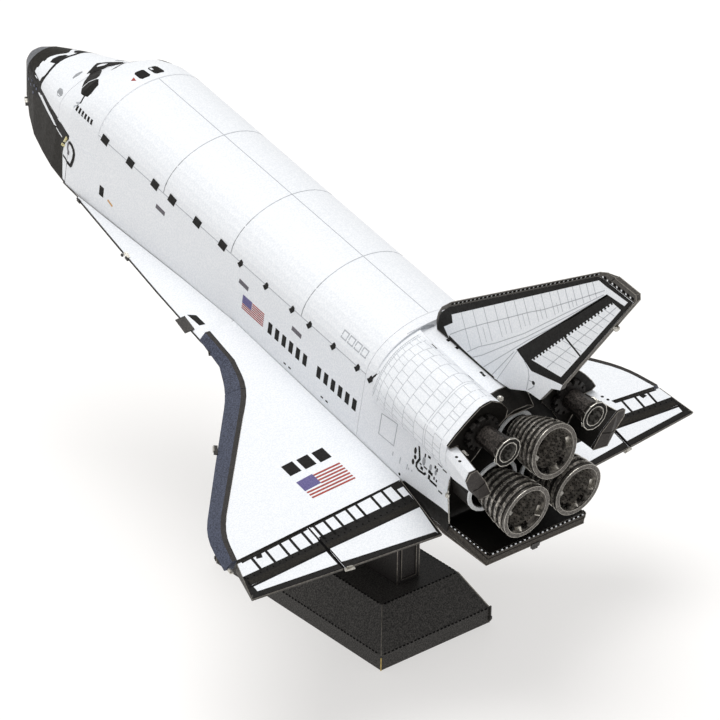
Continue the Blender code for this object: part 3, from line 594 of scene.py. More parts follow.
# Nose: everything ahead of the ring is black but for one white panel a side.
PANEL = [
    (6.0, 8.2), (5.85, 17.0), (6.15, 17.5), (6.15, 23.5), (5.95, 24.0), (5.95, 34.0), (6.25, 34.5),
    (6.25, 42.0), (6.1, 42.5), (6.2, 52.0), (6.5, 62.0), (6.9, 73.0), (7.3, 80.5), (7.5, 86.0),
]
BEHIND_PANEL = [(8.62, 8.9), (8.77, 17.5), (9.01, 20.4), (9.35, 22.0), (9.5, 8.0), (9.5, -3.0)]
RING = [
    (8.65, 2.5), (8.95, 10.0), (9.1, 17.7), (9.15, 27.0), (8.98, 36.5), (8.75, 45.8), (8.6, 57.0),
    (8.6, 68.0), (8.65, 78.0), (8.8, 90.0),
]
RING_WIDTH = 0.55
nose_black = Ink("black_prints_nose", BROWN_INK, "black_print")
panes = Ink("cabin_windows", BLACK_INK, "black_print", 0.045)
white = Ink("white_prints", WHITE, "white_print")
loop = Ink("hatch_loops", BLACK_INK, "black_print", 0.05)
shadow = Ink("hatch_shades", DASH_INK, "nose_print", 0.05)
for side, sign in SIDES:
    nose = round_chart(BODY, sign, NOSE_AXIS, 4.5)
    over = top_chart(BODY, sign)
    flank = side_chart(BODY, sign)
    for ink, outline in (
        (nose_black, [(3.07, -3.0), (3.07, 90.0), (7.5, 90.0)] + PANEL[::-1] + BEHIND_PANEL),
        (black, RING + [(s + RING_WIDTH, a) for s, a in reversed(RING)]),
        # Thruster ports on the top.
        (black, ((7.55, 42.5), (7.2, 51.0), (7.35, 66.0), (7.95, 78.0), (8.5, 80.0), (8.7, 63.0),
                 (8.75, 47.5))),
        (grey_print, ((14.6, 30.6), (15.4, 32.0), (16.1, 30.5), (16.4, 27.7), (15.9, 24.6), (15.2, 23.5),
                      (14.6, 26.0))),
        (grey_print, ((14.75, 63.0), (15.15, 61.0), (15.3, 54.0), (15.2, 47.5), (14.85, 48.2),
                      (14.55, 54.5))),
    ):
        ink.patch(nose, outline, 0.4)
    # Cabin windows.
    panes.patch(nose, ((19.91, 46.0), (19.81, 53.7), (20.7, 59.3), (21.27, 60.1), (22.42, 56.2),
                       (22.77, 47.9), (22.61, 44.4), (21.75, 43.1), (21.0, 42.9)), 0.3)
    panes.patch(nose, ((19.63, 46.9), (18.39, 52.2), (17.3, 59.0), (16.34, 67.2), (16.66, 73.5),
                       (16.87, 79.6), (17.79, 75.6), (20.28, 63.6), (20.35, 60.4), (19.5, 54.4)), 0.3)
    panes.patch(over, ((0.0, 14.3), (1.1, 14.9), (2.16, 15.6), (3.3, 16.2), (2.72, 16.5), (2.2, 16.95),
                       (0.92, 17.0), (0.0, 16.8), (0.0, 15.95), (1.1, 15.55), (0.4, 15.0), (0.0, 15.0)), 0.3)
    panes.patch(over, ((0.35, 25.0), (0.6, 24.78), (1.75, 24.78), (2.05, 25.05), (2.15, 26.4), (1.9, 26.75),
                       (0.7, 26.75), (0.38, 26.5)), 0.4)
    black.line(nose, ((21.9, 45.0), (22.1, 41.0), (22.22, 37.2)), 0.24)
    grey_line.line(nose, ((22.1, 36.4), (21.45, 34.4), (21.35, 31.5)), 0.3)
    # Hatch loop behind the chin.
    white.patch(flank, ((21.25, 6.9), (20.3, 5.6), (19.85, 4.4), (19.7, 3.4), (19.85, 2.4), (20.1, 1.2),
                        (20.4, 0.0), (20.6, -0.6), (21.25, -0.6)), 0.6)
    loop.line(flank, ((21.5, 6.7), (22.08, 6.5), (22.57, 6.05), (22.82, 5.4), (22.75, 4.4), (22.4, 3.1),
                      (22.2, 2.85), (21.5, 2.98)), 0.5)
    loop.line(flank, ((21.6, 2.95), (20.82, 3.19), (19.95, 3.11)), 0.36)
    shadow.line(flank, ((21.44, 6.6), (21.19, 5.9), (21.19, 5.3), (21.5, 4.9), (21.47, 4.4)), 0.42)
    white.line(FlatChart(sign * 9.415), ((21.6, 7.66), (27.9, 7.66)), 0.24, 2.0)
port_top = top_chart(BODY, 1)
# A painted shadow: a black wedge at a fold on the roof behind the front windows.
black.patch(port_top, ((2.62, 20.55), (1.19, 19.9), (-0.9, 18.85), (-1.0, 19.1), (1.7, 20.55)), 0.4)
red.patch(port_top, ((2.61, 25.6), (3.36, 25.96), (2.84, 26.5)), 0.4)

# Aft flank: an outlined hatch, the round ports' black labels, and the black foot of the tail.
for side, sign in SIDES:
    flank = side_chart(BODY, sign)
    grey_line.line(flank, ((92.61, 8.27), (95.85, 8.8), (95.79, 4.87), (92.62, 4.7)), 0.14, 1.5, True)
    black.line(flank, ((100.5, 8.4), (101.0, 6.5), (100.55, 5.4), (100.6, 4.85), (101.1, 4.6), (102.25, 4.75),
                       (102.55, 5.15)), 0.36)
    for s, z, wide, high in ((101.83, 6.73, 0.62, 1.5), (103.24, 6.68, 0.5, 1.15), (104.33, 6.6, 0.42, 0.95)):
        grey_print.dot(flank, s, z, wide / 2, 12, high / wide)
    for s, z, high in ((99.95, 7.2, 1.2), (100.1, 6.17, 0.8), (99.85, 5.17, 1.0)):
        nose_black.dot(flank, s, z, 0.26, 10, high / 0.52)
    for s, z, wide, high in (
        (101.64, 5.34, 0.5, 0.5), (101.3, 5.85, 0.4, 0.25), (103.21, 5.86, 0.55, 0.55),
        (103.65, 5.8, 0.35, 0.5), (104.1, 7.4, 0.35, 0.5), (104.5, 7.2, 0.25, 0.6), (102.7, 8.1, 0.5, 0.4),
        (101.9, 7.8, 0.25, 0.6), (103.26, 4.98, 0.4, 0.8), (104.2, 4.62, 1.5, 0.36), (104.2, 5.5, 0.25, 0.5),
        (104.7, 5.4, 0.25, 0.4), (102.3, 5.9, 0.7, 0.25), (104.9, 8.35, 0.9, 0.22), (105.9, 8.1, 0.8, 0.2),
        (105.75, 4.2, 0.8, 0.25),
    ):
        black.box(flank, s, z, wide, high)
    for s, z, high in ((95.88, 3.56, 0.7), (97.41, 3.5, 1.1), (98.9, 3.5, 0.9), (99.27, 3.4, 0.4),
                       (99.9, 3.55, 0.3)):
        grey_line.box(flank, s, z, 0.16, high)
    black.patch(flank, ((97.9, -0.9), (98.4, 0.35), (98.76, 0.95), (103.0, 1.5), (107.0, 2.05),
                        (107.0, -0.9)), 1.0)
    black.dot(flank, 97.73, 1.3, 0.22, 8)

# Pods: rows of tiles, closer at the front edge, that lean forward low on the flank.
PODS = ("pod_port", "pod_starboard")
POD_ROWS = (91.0, 91.45, 92.55, 94.4, 96.35, 98.85, 101.4, 103.6, 104.0, 105.7, 107.3)
POD_COLUMNS = (58.0, 50.5, 43.0, 36.5, 30.0, 23.5, 17.0, 10.5, 4.5, -2.0, -8.5)
POD_SHIFTS = (-3.2, 0.0, 2.1, -1.2)
POD_LOW, POD_STEPS = -14.5, 16
pale = Ink("tile_lines_pods", PALE_LINE, "pale_collar")


def pod_lean(degrees):
    return 1.08 * max(0.0, (8.0 - degrees) / 22.0) ** 1.5


for side, sign in SIDES:
    pod = round_chart(PODS, sign, 12.0, 11.5)
    for s in POD_ROWS:
        top = 60.0 if s < 96 else 62.0
        heights = [top + (POD_LOW - top) * k / POD_STEPS for k in range(POD_STEPS + 1)]
        pale.line(pod, [(s - pod_lean(a), a) for a in heights], 0.10)
    for i, (s0, s1) in enumerate(zip(POD_ROWS[1:], POD_ROWS[2:])):
        for k, a in enumerate(POD_COLUMNS):
            a += POD_SHIFTS[(i + k // 4) % 4]
            if s1 - s0 > 0.6:
                pale.line(pod, ((s0, a), (s1, a)), 0.09)
    for k in range(40):
        a = 58.0 - k * 1.75
        pale.box(pod, 91.22 - pod_lean(a), a, 0.30, 0.12)
    black.line(pod, ((93.5, 61.6), (94.7, 61.2)), 0.18)
    black.line(side_chart(BODY + PODS, sign), ((89.35, 11.4), (89.9, 12.7), (90.7, 14.1)), 0.24)
    black.line(pod, ((101.6, 60.2), (102.8, 60.0)), 0.18)
    # Two round ports on each thruster pack, the slots on the deck between the pods, and a painted step
    # shadow.
    pack = FlatChart(0.0, (0, -0.06, 1), ((0, 0, 8.828), (sign, 0, 0), (0, 1, 0.06)))
    for x, s in ((12.93, 110.56), (13.14, 111.46)):
        black.dot(pack, x, s, 0.22, 12)
    deck = top_chart(("aft_fuselage",), sign)
    for x, s in ((0.56, 93.45), (0.54, 95.3), (0.98, 100.95), (1.05, 101.5)):
        black.box(deck, x, s, 0.36, 0.5)
    # A painted shadow: a grey line along the step at the front of the tail's deck.
    grey_line.line(deck, ((4.7, 89.79), (2.5, 90.05), (0.3, 90.2)), 0.13, 0.6)

# Fin and rudder: one printed sheet a side, with black borders round white panels.
sheet = Ink("fin_sheets", WHITE, "white_print", 0.01, 0.2)
fin_black = Ink("black_prints_fin", BLACK_INK, "black_print")
fin_holes = Ink("perforations_fin", HOLE, "black_print", 0.03)
fin_specks = Ink("bright_specks_fin", WHITE, None, 0.035)
fold_specks = Ink("fold_specks_fin", GREY_INK, None, 0.035)
tile = Ink("tile_lines_fin", GREY_LINE, "pale_collar")
FRONT_RIM = [(90.95, 18.4), (90.95, 20.45), (91.3, 21.5), (92.45, 23.05), (116.25, 44.72), (117.3, 44.98)]
REAR_RIM = [(122.9, 45.12), (114.78, 26.0), (114.65, 25.7)]
ROOT_RIM = [(114.4, 24.75), (112.9, 23.95), (111.4, 20.95), (109.55, 20.75), (108.65, 20.5), (105.95, 18.85),
            (103.6, 18.5), (103.0, 18.3)]
SAW_LOW, SAW_HIGH, SAW_TEETH, SAW_DEPTH = Vector((108.52, 25.53)), Vector((119.55, 42.84)), 25, 0.26
TILE_FRONT, TILE_WAY = Vector((93.05, 22.25)), Vector((0.7285, 0.6851))
TILE_ACROSS = Vector((0.60, -0.80))
TILE_ROW, TILE_ROW_WAY = Vector((99.02, 20.93)), Vector((0.6518, 0.7584))
TILE_ROW_SIDE = Vector((-TILE_ROW_WAY.y, TILE_ROW_WAY.x))
FIN_FOOT = 18.7


def saw_edge():
    """The toothed edge between the black band and the rudder's white panel, from the top down."""
    way = SAW_LOW - SAW_HIGH
    deep = Vector((-way.y, way.x)).normalized() * SAW_DEPTH
    course = []
    for k in range(SAW_TEETH):
        base, tip = SAW_HIGH.lerp(SAW_LOW, k / SAW_TEETH), SAW_HIGH.lerp(SAW_LOW, (k + 0.5) / SAW_TEETH)
        course += [tuple(base), tuple(base + deep), tuple(tip + deep), tuple(tip)]
    return course


for side, sign in SIDES:
    fin = FlatChart(sign * 0.45)
    sheet.patch(fin, FRONT_RIM + REAR_RIM + ROOT_RIM, 2.0)
    for outline in (
        FRONT_RIM + [(117.0, 44.36), (116.57, 44.32), (93.03, 22.16), (93.54, 21.1), (92.11, 19.43),
                     (93.5, 18.4)],
        ((93.5, 18.3), (93.3, 18.85), (96.3, 18.6), (99.4, 18.5), (102.8, 18.5), (102.85, 18.3)),
        ((116.9, 44.32), (117.3, 44.98), (122.9, 45.12), (122.06, 44.59), (117.92, 44.31)),
        [(118.39, 43.34), (121.65, 43.7), (121.25, 42.77)] + saw_edge() + [(108.52, 25.53), (105.59, 25.15)],
        [(105.59, 25.15), (107.26, 24.58), (108.96, 23.94), (114.12, 25.57)] + REAR_RIM[::-1] + [
            (122.06, 44.59), (121.65, 43.7), (121.25, 42.77), (120.45, 40.9), (114.13, 26.64),
            (108.52, 25.53)],
    ):
        fin_black.patch(fin, outline, 1.5)
    fin_black.line(fin, ((113.01, 32.73), (116.43, 31.87)), 0.32)
    fin_black.dot(fin, 109.75, 22.5, 0.3, 8)
    # Perforated folds along the front edge and over the top.
    edge = side_chart(("fin", "rudder"), sign)
    for k in range(35):
        fold = Vector((92.27, 23.26)).lerp(Vector((116.13, 44.9)), (k + 0.6) / 35)
        fin_holes.box(edge, *fold, 0.46, 0.18, 42.2)
        fold_specks.box(edge, *(fold + Vector((0.343, 0.311))), 0.16, 0.12, 42.2)
    for k in range(7):
        fin_holes.box(edge, 117.5 + 0.85 * k, 45.32 + 0.035 * k, 0.42, 0.34)
        fin_specks.dot(edge, 117.1 + 0.85 * k, 45.22 + 0.035 * k, 0.13, 6)
    # Tiles: long seams, then crosswise ones down to the second seam or to the fin's foot.
    for row in (
        ((93.49, 19.07), (95.64, 21.46), (99.28, 25.08), (101.45, 27.17), (106.25, 31.86), (108.54, 33.9),
         (114.11, 39.6), (117.9, 43.6)),
        ((97.2, 18.75), (99.02, 20.93), (101.94, 23.68), (106.31, 28.38), (112.93, 36.7), (117.9, 42.9)),
        ((98.3, 18.6), (99.88, 20.1), (106.71, 28.0), (113.09, 36.15), (118.3, 43.1)),
        ((100.6, 18.6), (107.2, 27.9), (113.4, 35.9), (118.5, 43.2)),
        ((102.4, 18.6), (105.3, 24.6)),
    ):
        tile.line(fin, row, 0.12, 2.0)
    at, gap, k = 2.1, 2.6, 0
    while at < 31.6:
        a = TILE_FRONT + TILE_WAY * at
        reach = (TILE_ROW - a).dot(TILE_ROW_SIDE) / TILE_ACROSS.dot(TILE_ROW_SIDE)
        reach = min(reach, (a.y - FIN_FOOT) / -TILE_ACROSS.y)
        tile.line(fin, (a, a + TILE_ACROSS * reach), 0.11, 2.0)
        if k % 2 and at < 26:
            b = a + TILE_ACROSS * reach * 0.52 + TILE_WAY * gap * 0.5
            tile.line(fin, (b, b + TILE_ACROSS * reach * 0.42), 0.09, 2.0)
        at += gap
        gap = max(1.15, gap * 0.955)
        k += 1
    for k in range(1, 11):
        a = Vector((108.9, 25.8)).lerp(Vector((119.6, 42.5)), k / 11)
        b = Vector((113.9, 26.9)).lerp(Vector((121.1, 42.7)), k / 11)
        tile.line(fin, (a, b), 0.09, 2.0)
    tile.line(fin, ((111.4, 26.3), (120.4, 42.6)), 0.10, 2.0)
    tile.line(fin, ((105.75, 25.0), (103.43, 18.6)), 0.09, 2.0)
    tile.line(fin, ((107.3, 24.5), (108.29, 23.9), (108.75, 22.9), (108.85, 20.7)), 0.14, 1.0)
    tile.line(fin, ((108.9, 22.3), (109.7, 22.6), (110.0, 22.2), (109.7, 21.6), (109.1, 20.9)), 0.14, 1.0)

# Wings and elevons.
wing_black = Ink("black_prints_wings", BLACK_INK, "black_print")
wing_brown = Ink("brown_prints_wings", BROWN_INK, "black_print")
perforations = Ink("perforations_wings", HOLE, "black_print", 0.03)
BOX_EDGES = (11.0, 12.85, 14.75, 17.45, 19.2, 21.3, 23.1, 24.9, 26.95, 29.1, 30.8, 33.2, 35.62)


def hinge_s(x):
    return 98.2 + 1.2 * (x - 9.18) / 28.82


for side, sign in SIDES:
    wing = top_chart([f"{stem}_{side}" for stem in ("wing", "strake", "elevon_inboard", "elevon_outboard")],
                     sign)
    # Dark lines on both sides of the hinge, then the dividers between the white boxes.
    for x0, x1 in ((9.62, 25.45), (25.95, 38.2)):
        for near_s, far_s in ((-0.12, -0.005), (0.125, 0.33)):
            front, back = hinge_s(x0), hinge_s(x1)
            wing_black.patch(wing, ((x0, front + near_s), (x1, back + near_s), (x1, back + far_s),
                                    (x0, front + far_s)), 1.0)
    for x in BOX_EDGES:
        s = hinge_s(x) + 0.3
        wing_black.patch(wing, ((x - 0.2, s), (x + 0.2, s), (x + 0.2, 101.75), (x - 0.2, 101.75)), 1.0)
    # The black band with its perforations, and the brown band behind it.
    for x0, x1, s0, mid_s, s1, mid_end in ((9.9, 25.5, 100.95, 101.0, 103.2, 103.0),
                                           (25.9, 38.6, 101.55, 101.55, 103.35, 103.15)):
        wing_black.patch(wing, ((x0, s0), (x1, mid_s), (x1, 102.35), (x0, 102.3)), 1.0)
        wing_brown.patch(wing, ((x0, 102.3), (x1, 102.35), (x1, mid_end), (x0, s1)), 1.0)
        perforations.dots(wing, (x0 + 0.5, 102.0), (x1 - 0.5, 102.05), 1.05, 0.13)
    # A notch in the boxes, the dark corner at the wing's root, and the strake's flap.
    for outline, step in (
        (((34.82, 99.43), (34.0, 99.6), (34.22, 100.16), (35.12, 99.98)), 0.8),
        (((9.36, 98.4), (11.1, 98.5), (11.1, 99.43), (9.7, 99.41), (9.8, 101.0), (9.98, 103.2),
          (10.72, 107.9), (10.62, 108.6), (10.42, 108.6)), 0.8),
        (((12.15, 56.6), (12.95, 55.6), (13.05, 58.5), (12.3, 58.9)), 0.5),
    ):
        wing_black.patch(wing, outline, step)
    # Black border round the white trapezoids, and at the wing's tip.
    for outline in (
        ((9.95, 103.1), (25.5, 103.0), (25.5, 103.3), (9.97, 103.4)),
        ((25.9, 103.15), (38.7, 103.2), (38.7, 103.5), (25.9, 103.45)),
        ((10.9, 107.9), (24.7, 105.95), (25.5, 105.8), (25.5, 106.9), (10.45, 108.62)),
        ((25.9, 105.9), (38.3, 104.35), (39.45, 104.25), (39.6, 105.05), (25.9, 106.82)),
        ((25.32, 103.2), (25.5, 103.2), (25.5, 105.9), (25.32, 106.0)),
        ((25.9, 103.3), (26.04, 103.3), (26.04, 105.9), (25.9, 106.0)),
        ((38.25, 103.3), (39.08, 103.3), (39.45, 104.5), (38.2, 104.5)),
        ((38.3, 101.6), (38.6, 101.6), (39.08, 103.35), (38.3, 103.35)),
        ((38.02, 99.6), (38.16, 99.6), (38.58, 101.6), (38.4, 101.6)),
    ):
        wing_black.patch(wing, outline, 1.0)
    # Flag on the wing, and three plain blocks where lettering is left off.
    for i in range(FLAG_STRIPES):
        s, outer = 91.44 + i * 0.55, 21.7 if i > 3 else 18.9
        red.patch(wing, ((14.3, s - 0.14), (outer, s - 0.10), (outer, s + 0.18), (14.3, s + 0.14)), 1.0)
    blue.patch(wing, ((18.9, 91.15), (21.75, 91.35), (21.75, 93.3), (18.9, 93.15)), 0.8)
    for x in (14.5, 17.1, 19.7):
        wing_black.patch(wing, ((x, 87.8), (x + 1.95, 87.9), (x + 1.95, 90.0), (x, 89.9)), 0.9)

place_inks()


# Bent metal: thin bodies of revolution, bars, rods along edges, tabs and perforations.
def prism(bm, first, second):
    """A closed solid between two outlines with the same number of corners."""
    first, second = [bm.verts.new(p) for p in first], [bm.verts.new(p) for p in second]
    bm.faces.new(first)
    bm.faces.new(second[::-1])
    for (a, b), (c, d) in zip(edges_of(first), edges_of(second)):
        bm.faces.new((a, c, d, b))


def lathe(bm, profile, to, segments=48, phase=0.5):
    """A closed ring of (radius, aft) pairs turned about the local aft axis."""
    rings = []
    for i in range(segments):
        turn = 2 * math.pi * (i + phase) / segments
        ct, st = math.cos(turn), math.sin(turn)
        rings.append([bm.verts.new(to @ Vector((r * ct, y, r * st))) for r, y in profile])
    for ring, following in edges_of(rings):
        for (a, b), (c, d) in zip(edges_of(ring), edges_of(following)):
            bm.faces.new((a, b, d, c))


def bar(bm, a, b, wide, high, up):
    """A straight bar from a to b, high along up and wide across it."""
    along = (b - a).normalized()
    across = along.cross(up).normalized() * (wide / 2)
    lift = across.cross(along).normalized() * (high / 2)
    corners = [across * i + lift * j for i, j in ((-1, -1), (1, -1), (1, 1), (-1, 1))]
    prism(bm, [a + corner for corner in corners], [b + corner for corner in corners])


def mirrored(sign, *places):
    """Places and directions given for the port side, on either side."""
    return [Vector((sign * x, s, z)) for x, s, z in places]


def side_bar(bm, sign, a, b, wide, high, up):
    a, b, up = mirrored(sign, a, b, up)
    bar(bm, a, b, wide, high, up)


def rods(name, edges, material, radius, place=TO_WORLD):
    """Bare sheet edges: a thin square rod along each edge, pushed a little out of the solid."""
    bm = bmesh.new()
    for a, b, out in edges:
        if (b - a).length >= 0.05:
            off = out * radius * 0.15
            bar(bm, a + off, b + off, radius * 2, radius * 2, out)
    place_piece(name, bm, material, place)


def perforate(bm, a, b, out, pitch, length, wide, proud=0.03):
    """A row of short bars along a fold."""
    a, b, out = Vector(a), Vector(b), Vector(out).normalized()
    reach = (b - a).normalized() * (length / 2)
    count = max(1, round((b - a).length / pitch))
    for k in range(count):
        centre = a.lerp(b, (k + 0.5) / count) - out * (wide / 2 - proud)
        bar(bm, centre - reach, centre + reach, wide, wide, out)


def disc(bm, at, axis, radius, depth):
    turn = Vector((0, 1, 0)).rotation_difference(Vector(axis).normalized()).to_matrix().to_4x4()
    here = Matrix.Translation(Vector(at)) @ turn
    lathe(bm, ((0.06, depth), (radius * 0.75, depth), (radius, depth * 0.6), (radius, -depth),
               (0.06, -depth)), here, 14)


def tab(bm, sign, at, along, up, length=0.7, wide=0.45, thick=0.14):
    """A small bent tab: a pair of thin leaves."""
    at, along, up = mirrored(sign, at, along, up)
    along.normalize()
    up.normalize()
    bar(bm, at - along * length / 2, at + along * length / 2, wide, thick, up)
    foot = at + along.cross(up).normalized() * wide * 0.3
    bar(bm, foot, foot + up * wide * 0.7, thick, length * 0.6, along)


# Main engines.
ENGINES = (
    ("top", 0.0, 108.5, 13.2, 13.5, 7.3, (2, 178, 262)),
    ("port", 4.6, 108.9, 7.0, 4.0, 8.4, (20, 205, 285)),
    ("starboard", -4.6, 108.9, 7.0, 4.0, 8.4, (12, 192, 268)),
)
THROAT_R, EXIT_R, RIB_R = 1.9, 3.75, 0.22
RIM_R = EXIT_R + RIB_R
RIBS, RIBBED = 7, 0.94
WALL_STEPS, HOLE_ROWS, LINER_STEPS = 12, 9, 10


def bell_r(share):
    return THROAT_R + (EXIT_R - THROAT_R) * math.sin(share * math.pi / 2) ** 0.8


def liner_r(share):
    return bell_r(share) * 0.95


def rib_share(place):
    return place / RIBS * RIBBED


def engine_frame(x, y, z, tilt):
    return Matrix.Translation((x, y, z)) @ Matrix.Rotation(math.radians(tilt), 4, "X")


def spoke(degrees):
    """One step out from an engine's axis, in the engine's own frame."""
    turn = math.radians(degrees)
    return Vector((math.cos(turn), 0, math.sin(turn)))


def aft(y):
    return Vector((0, y, 0))


def make_bell(label, x, y, z, tilt, length, tabs):
    here = engine_frame(x, y, z, tilt)

    def strut(a, b, wide, high, up):
        bar(bm, here @ a, here @ b, wide, high, here.to_3x3() @ up)

    # Core: the dark wall between the ribs, painted shade of the grooves between them.
    bm = bmesh.new()
    shares = [i / WALL_STEPS for i in range(WALL_STEPS + 1)]
    wall = [(bell_r(s) - 0.01, s * length * 0.985) for s in shares]
    wall += [(bell_r(s) - 0.16, s * length * 0.985) for s in reversed(shares)]
    lathe(bm, wall, here)
    lathe(bm, ((1.15, 0.0), (THROAT_R - 0.1, 0.0), (THROAT_R - 0.1, 0.2), (1.15, 0.2)), here)
    core = place_piece("bell_core_shade_" + label, bm, CORE)
    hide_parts("main_engine_" + label)
    # Ribs, rim and lengthwise bars.
    bm = bmesh.new()
    for i in range(RIBS):
        low, high = rib_share(i + 0.35), rib_share(i + 0.78)
        r0, r1, y0, y1 = bell_r(low), bell_r(high), low * length, high * length
        lathe(bm, ((r0 - 0.06, y0), (r0 + RIB_R - 0.03, y0), (r0 + RIB_R, y0 + 0.06), (r1 + RIB_R, y1 - 0.06),
                   (r1 + RIB_R - 0.04, y1), (r1 - 0.06, y1)), here)
    place_piece("bell_ribs_" + label, bm, RIB)
    bm = bmesh.new()
    lathe(bm, (
        (EXIT_R - 0.42, length - 0.10), (EXIT_R - 0.36, length - 0.02), (RIM_R - 0.06, length - 0.02),
        (RIM_R, length - 0.08), (RIM_R, length - 0.38), (RIM_R - 0.05, length - 0.44),
        (EXIT_R - 0.42, length - 0.44),
    ), here)
    for k in range(8):
        out = spoke(22 + 45 * k)
        for i in range(RIBS - 1):
            low, high = rib_share(i + 0.7), rib_share(i + 1.45)
            start, end = (out * (bell_r(share) + 0.10) + aft(share * length) for share in (low, high))
            strut(start, end, 0.22, 0.22, out)
    place_piece("bell_rims_" + label, bm, RIM)
    # Bright edges: both sides of the rim, and a painted highlight along the aft edge of each rib.
    bm = bmesh.new()
    for r in (RIM_R - 0.03, EXIT_R - 0.40):
        lathe(bm, ((r - 0.03, length - 0.05), (r - 0.02, length), (r + 0.02, length),
                   (r + 0.03, length - 0.05)), here)
    # Painted highlight: a bright ring on each rib's aft edge.
    for i in range(RIBS):
        r, y1 = bell_r(rib_share(i + 0.78)) + RIB_R - 0.02, rib_share(i + 0.78) * length
        lathe(bm, ((r - 0.03, y1 - 0.05), (r - 0.03, y1 + 0.01), (r + 0.02, y1), (r + 0.02, y1 - 0.05)), here)
    place_piece("bell_edges_and_highlights_" + label, bm, BRIGHT)
    # Liner and floor, with rows of perforations.
    bm = bmesh.new()
    shares = [0.12 + 0.86 * i / LINER_STEPS for i in range(LINER_STEPS + 1)]
    wall = [(liner_r(s) - 0.20, s * length) for s in shares]
    wall += [(liner_r(s) - 0.26, s * length) for s in reversed(shares)]
    lathe(bm, wall, here)
    floor_r, floor_y = liner_r(0.12) - 0.22, 0.12 * length
    lathe(bm, ((0.3, floor_y), (floor_r, floor_y), (floor_r, floor_y + 0.1), (0.3, floor_y + 0.1)), here)
    place_piece("bell_liner_" + label, bm, LINER)
    bm = bmesh.new()
    for i in range(HOLE_ROWS):
        share = 0.18 + 0.085 * i
        r = liner_r(share) - 0.27
        count = int(2 * math.pi * r / 0.42)
        for k in range(count):
            out = spoke(360 * (k + 0.5 * (i % 2)) / count)
            strut(out * r + aft(share * length - 0.09), out * r + aft(share * length + 0.09), 0.13, 0.03, out)
    place_piece("bell_holes_" + label, bm, HOLE)
    # Twisted tabs that lock the rim.
    bm = bmesh.new()
    for k, degrees in enumerate(tabs):
        out = spoke(degrees)
        across = Vector((-out.z, 0, out.x))
        foot = out * (EXIT_R - 0.62) + aft(length - 0.8)
        tip = foot - out * 0.4 + across * (0.45 if k % 2 else -0.4) + aft(0.62)
        strut(foot, tip, 0.7, 0.2, across + out * 0.4)
        strut(foot - out * 0.1, foot - out * 0.25 - across * 0.8, 0.5, 0.16, Vector((0.2, 1, 0)))
    place_piece("bell_tabs_" + label, bm, BRIGHT)
    # Curled black tabs on the floor of the bell.
    bm = bmesh.new()
    for turn in (-30, 22, 44):
        out = spoke(tabs[2] + turn)
        across = Vector((-out.z, 0, out.x))
        foot = out * (EXIT_R - 0.55) + aft(length - 0.9)
        for i, j in ((-0.34, 0.0), (0.3, 0.12), (0.0, 0.5)):
            a = foot + across * i + aft(j)
            strut(a, a - out * 0.5 + across * 0.12, 0.32, 0.26, Vector((0.3, 1, 0)))
    place_piece("bell_curls_" + label, bm, DEEP)


for engine in ENGINES:
    make_bell(*engine)

# Pod nozzles: bright edges round the flange, folded feet, the flange's face and a pale sleeve.
NOZZLE_TILT = 5.5
NOZZLE_S = 108.56 + 0.25 + 0.06 + 0.7 + 0.06 + 1.5 * math.sin(math.radians(NOZZLE_TILT))
for side, sign in SIDES:
    here = engine_frame(sign * 7.7, NOZZLE_S, 16.6, NOZZLE_TILT)
    bm = bmesh.new()
    for r in (2.11, 1.49):
        lathe(bm, ((r - 0.06, 4.66), (r - 0.05, 4.75), (r + 0.04, 4.75), (r + 0.05, 4.66)), here, 12, 0.0)
    for k in range(12):
        out = spoke(30 * k)
        bar(bm, here @ (out * 2.16 + aft(4.5)), here @ (out * 1.78 + aft(3.92)), 0.07, 0.05,
            here.to_3x3() @ out)
    place_piece("nozzle_edges_" + side, bm, BRIGHT)
    bm = bmesh.new()
    lathe(bm, ((1.53, 4.69), (1.55, 4.72), (2.07, 4.72), (2.09, 4.69)), here, 12, 0.0)
    place_piece("nozzle_faces_" + side, bm, DEEP)
    bm = bmesh.new()
    lathe(bm, ((1.42, 4.6), (1.08, 3.05), (1.02, 3.05), (1.33, 4.6)), here, 24)
    place_piece("nozzle_sleeves_" + side, bm, SLEEVE)


# Bare sheet edges along the solids' own folds.
FOLD_ANGLE = math.radians(25)


def folds(names, keep):
    """The sharp edges of solids that pass a test, each with its outward way."""
    turn = TO_ORBITER.to_3x3().normalized()
    found = []
    for name in names:
        bm = bmesh.new()
        bm.from_mesh(NODES[name].data)
        bmesh.ops.remove_doubles(bm, verts=bm.verts, dist=1e-7)
        for edge in bm.edges:
            if len(edge.link_faces) != 2 or edge.calc_face_angle(0.0) < FOLD_ANGLE:
                continue
            ends = [TO_ORBITER @ v.co for v in edge.verts]
            normals = [turn @ f.normal for f in edge.link_faces]
            if keep((ends[0] + ends[1]) / 2, ends, normals):
                found.append((*ends, (normals[0] + normals[1]).normalized()))
        bm.free()
    return found


def every_edge(middle, ends, normals):
    return True


def fin_rim(middle, ends, normals):
    ahead = middle.z - 25.3 > (middle.y - 105.7) * 1.583 + 0.3
    return ahead and abs(middle.x) < 0.2 and middle.z > 18.9


def rudder_rim(middle, ends, normals):
    return (middle.y - 105.85) * 1.59 > middle.z - 25.3 + 0.6 or middle.z > 46.0


def looks_up(normals):
    return max(n.z for n in normals) > 0.8


def strake_rim(middle, ends, normals):
    return looks_up(normals) and max(abs(n.x) for n in normals) > 0.7 and min(abs(p.x) for p in ends) > 9.3


def outer_rim(middle, ends, normals):
    return looks_up(normals) and min(n.z for n in normals) < 0.4


def elevon_rim(middle, ends, normals):
    """Top edges but for the hinge and the slit between the elevons."""
    return outer_rim(middle, ends,
                     normals) and max(p.y for p in ends) > 100.0 and not 25.0 < abs(middle.x) < 26.2


def flap_foot(middle, ends, normals):
    return min(n.z for n in normals) < -0.8 and max(max(abs(n.x), n.y) for n in normals) > 0.8


def aft_rim(middle, ends, normals):
    """The outline of a plate's aft face, without the creases in it."""
    return max(n.y for n in normals) > 0.85 and min(n.y for n in normals) < 0.5


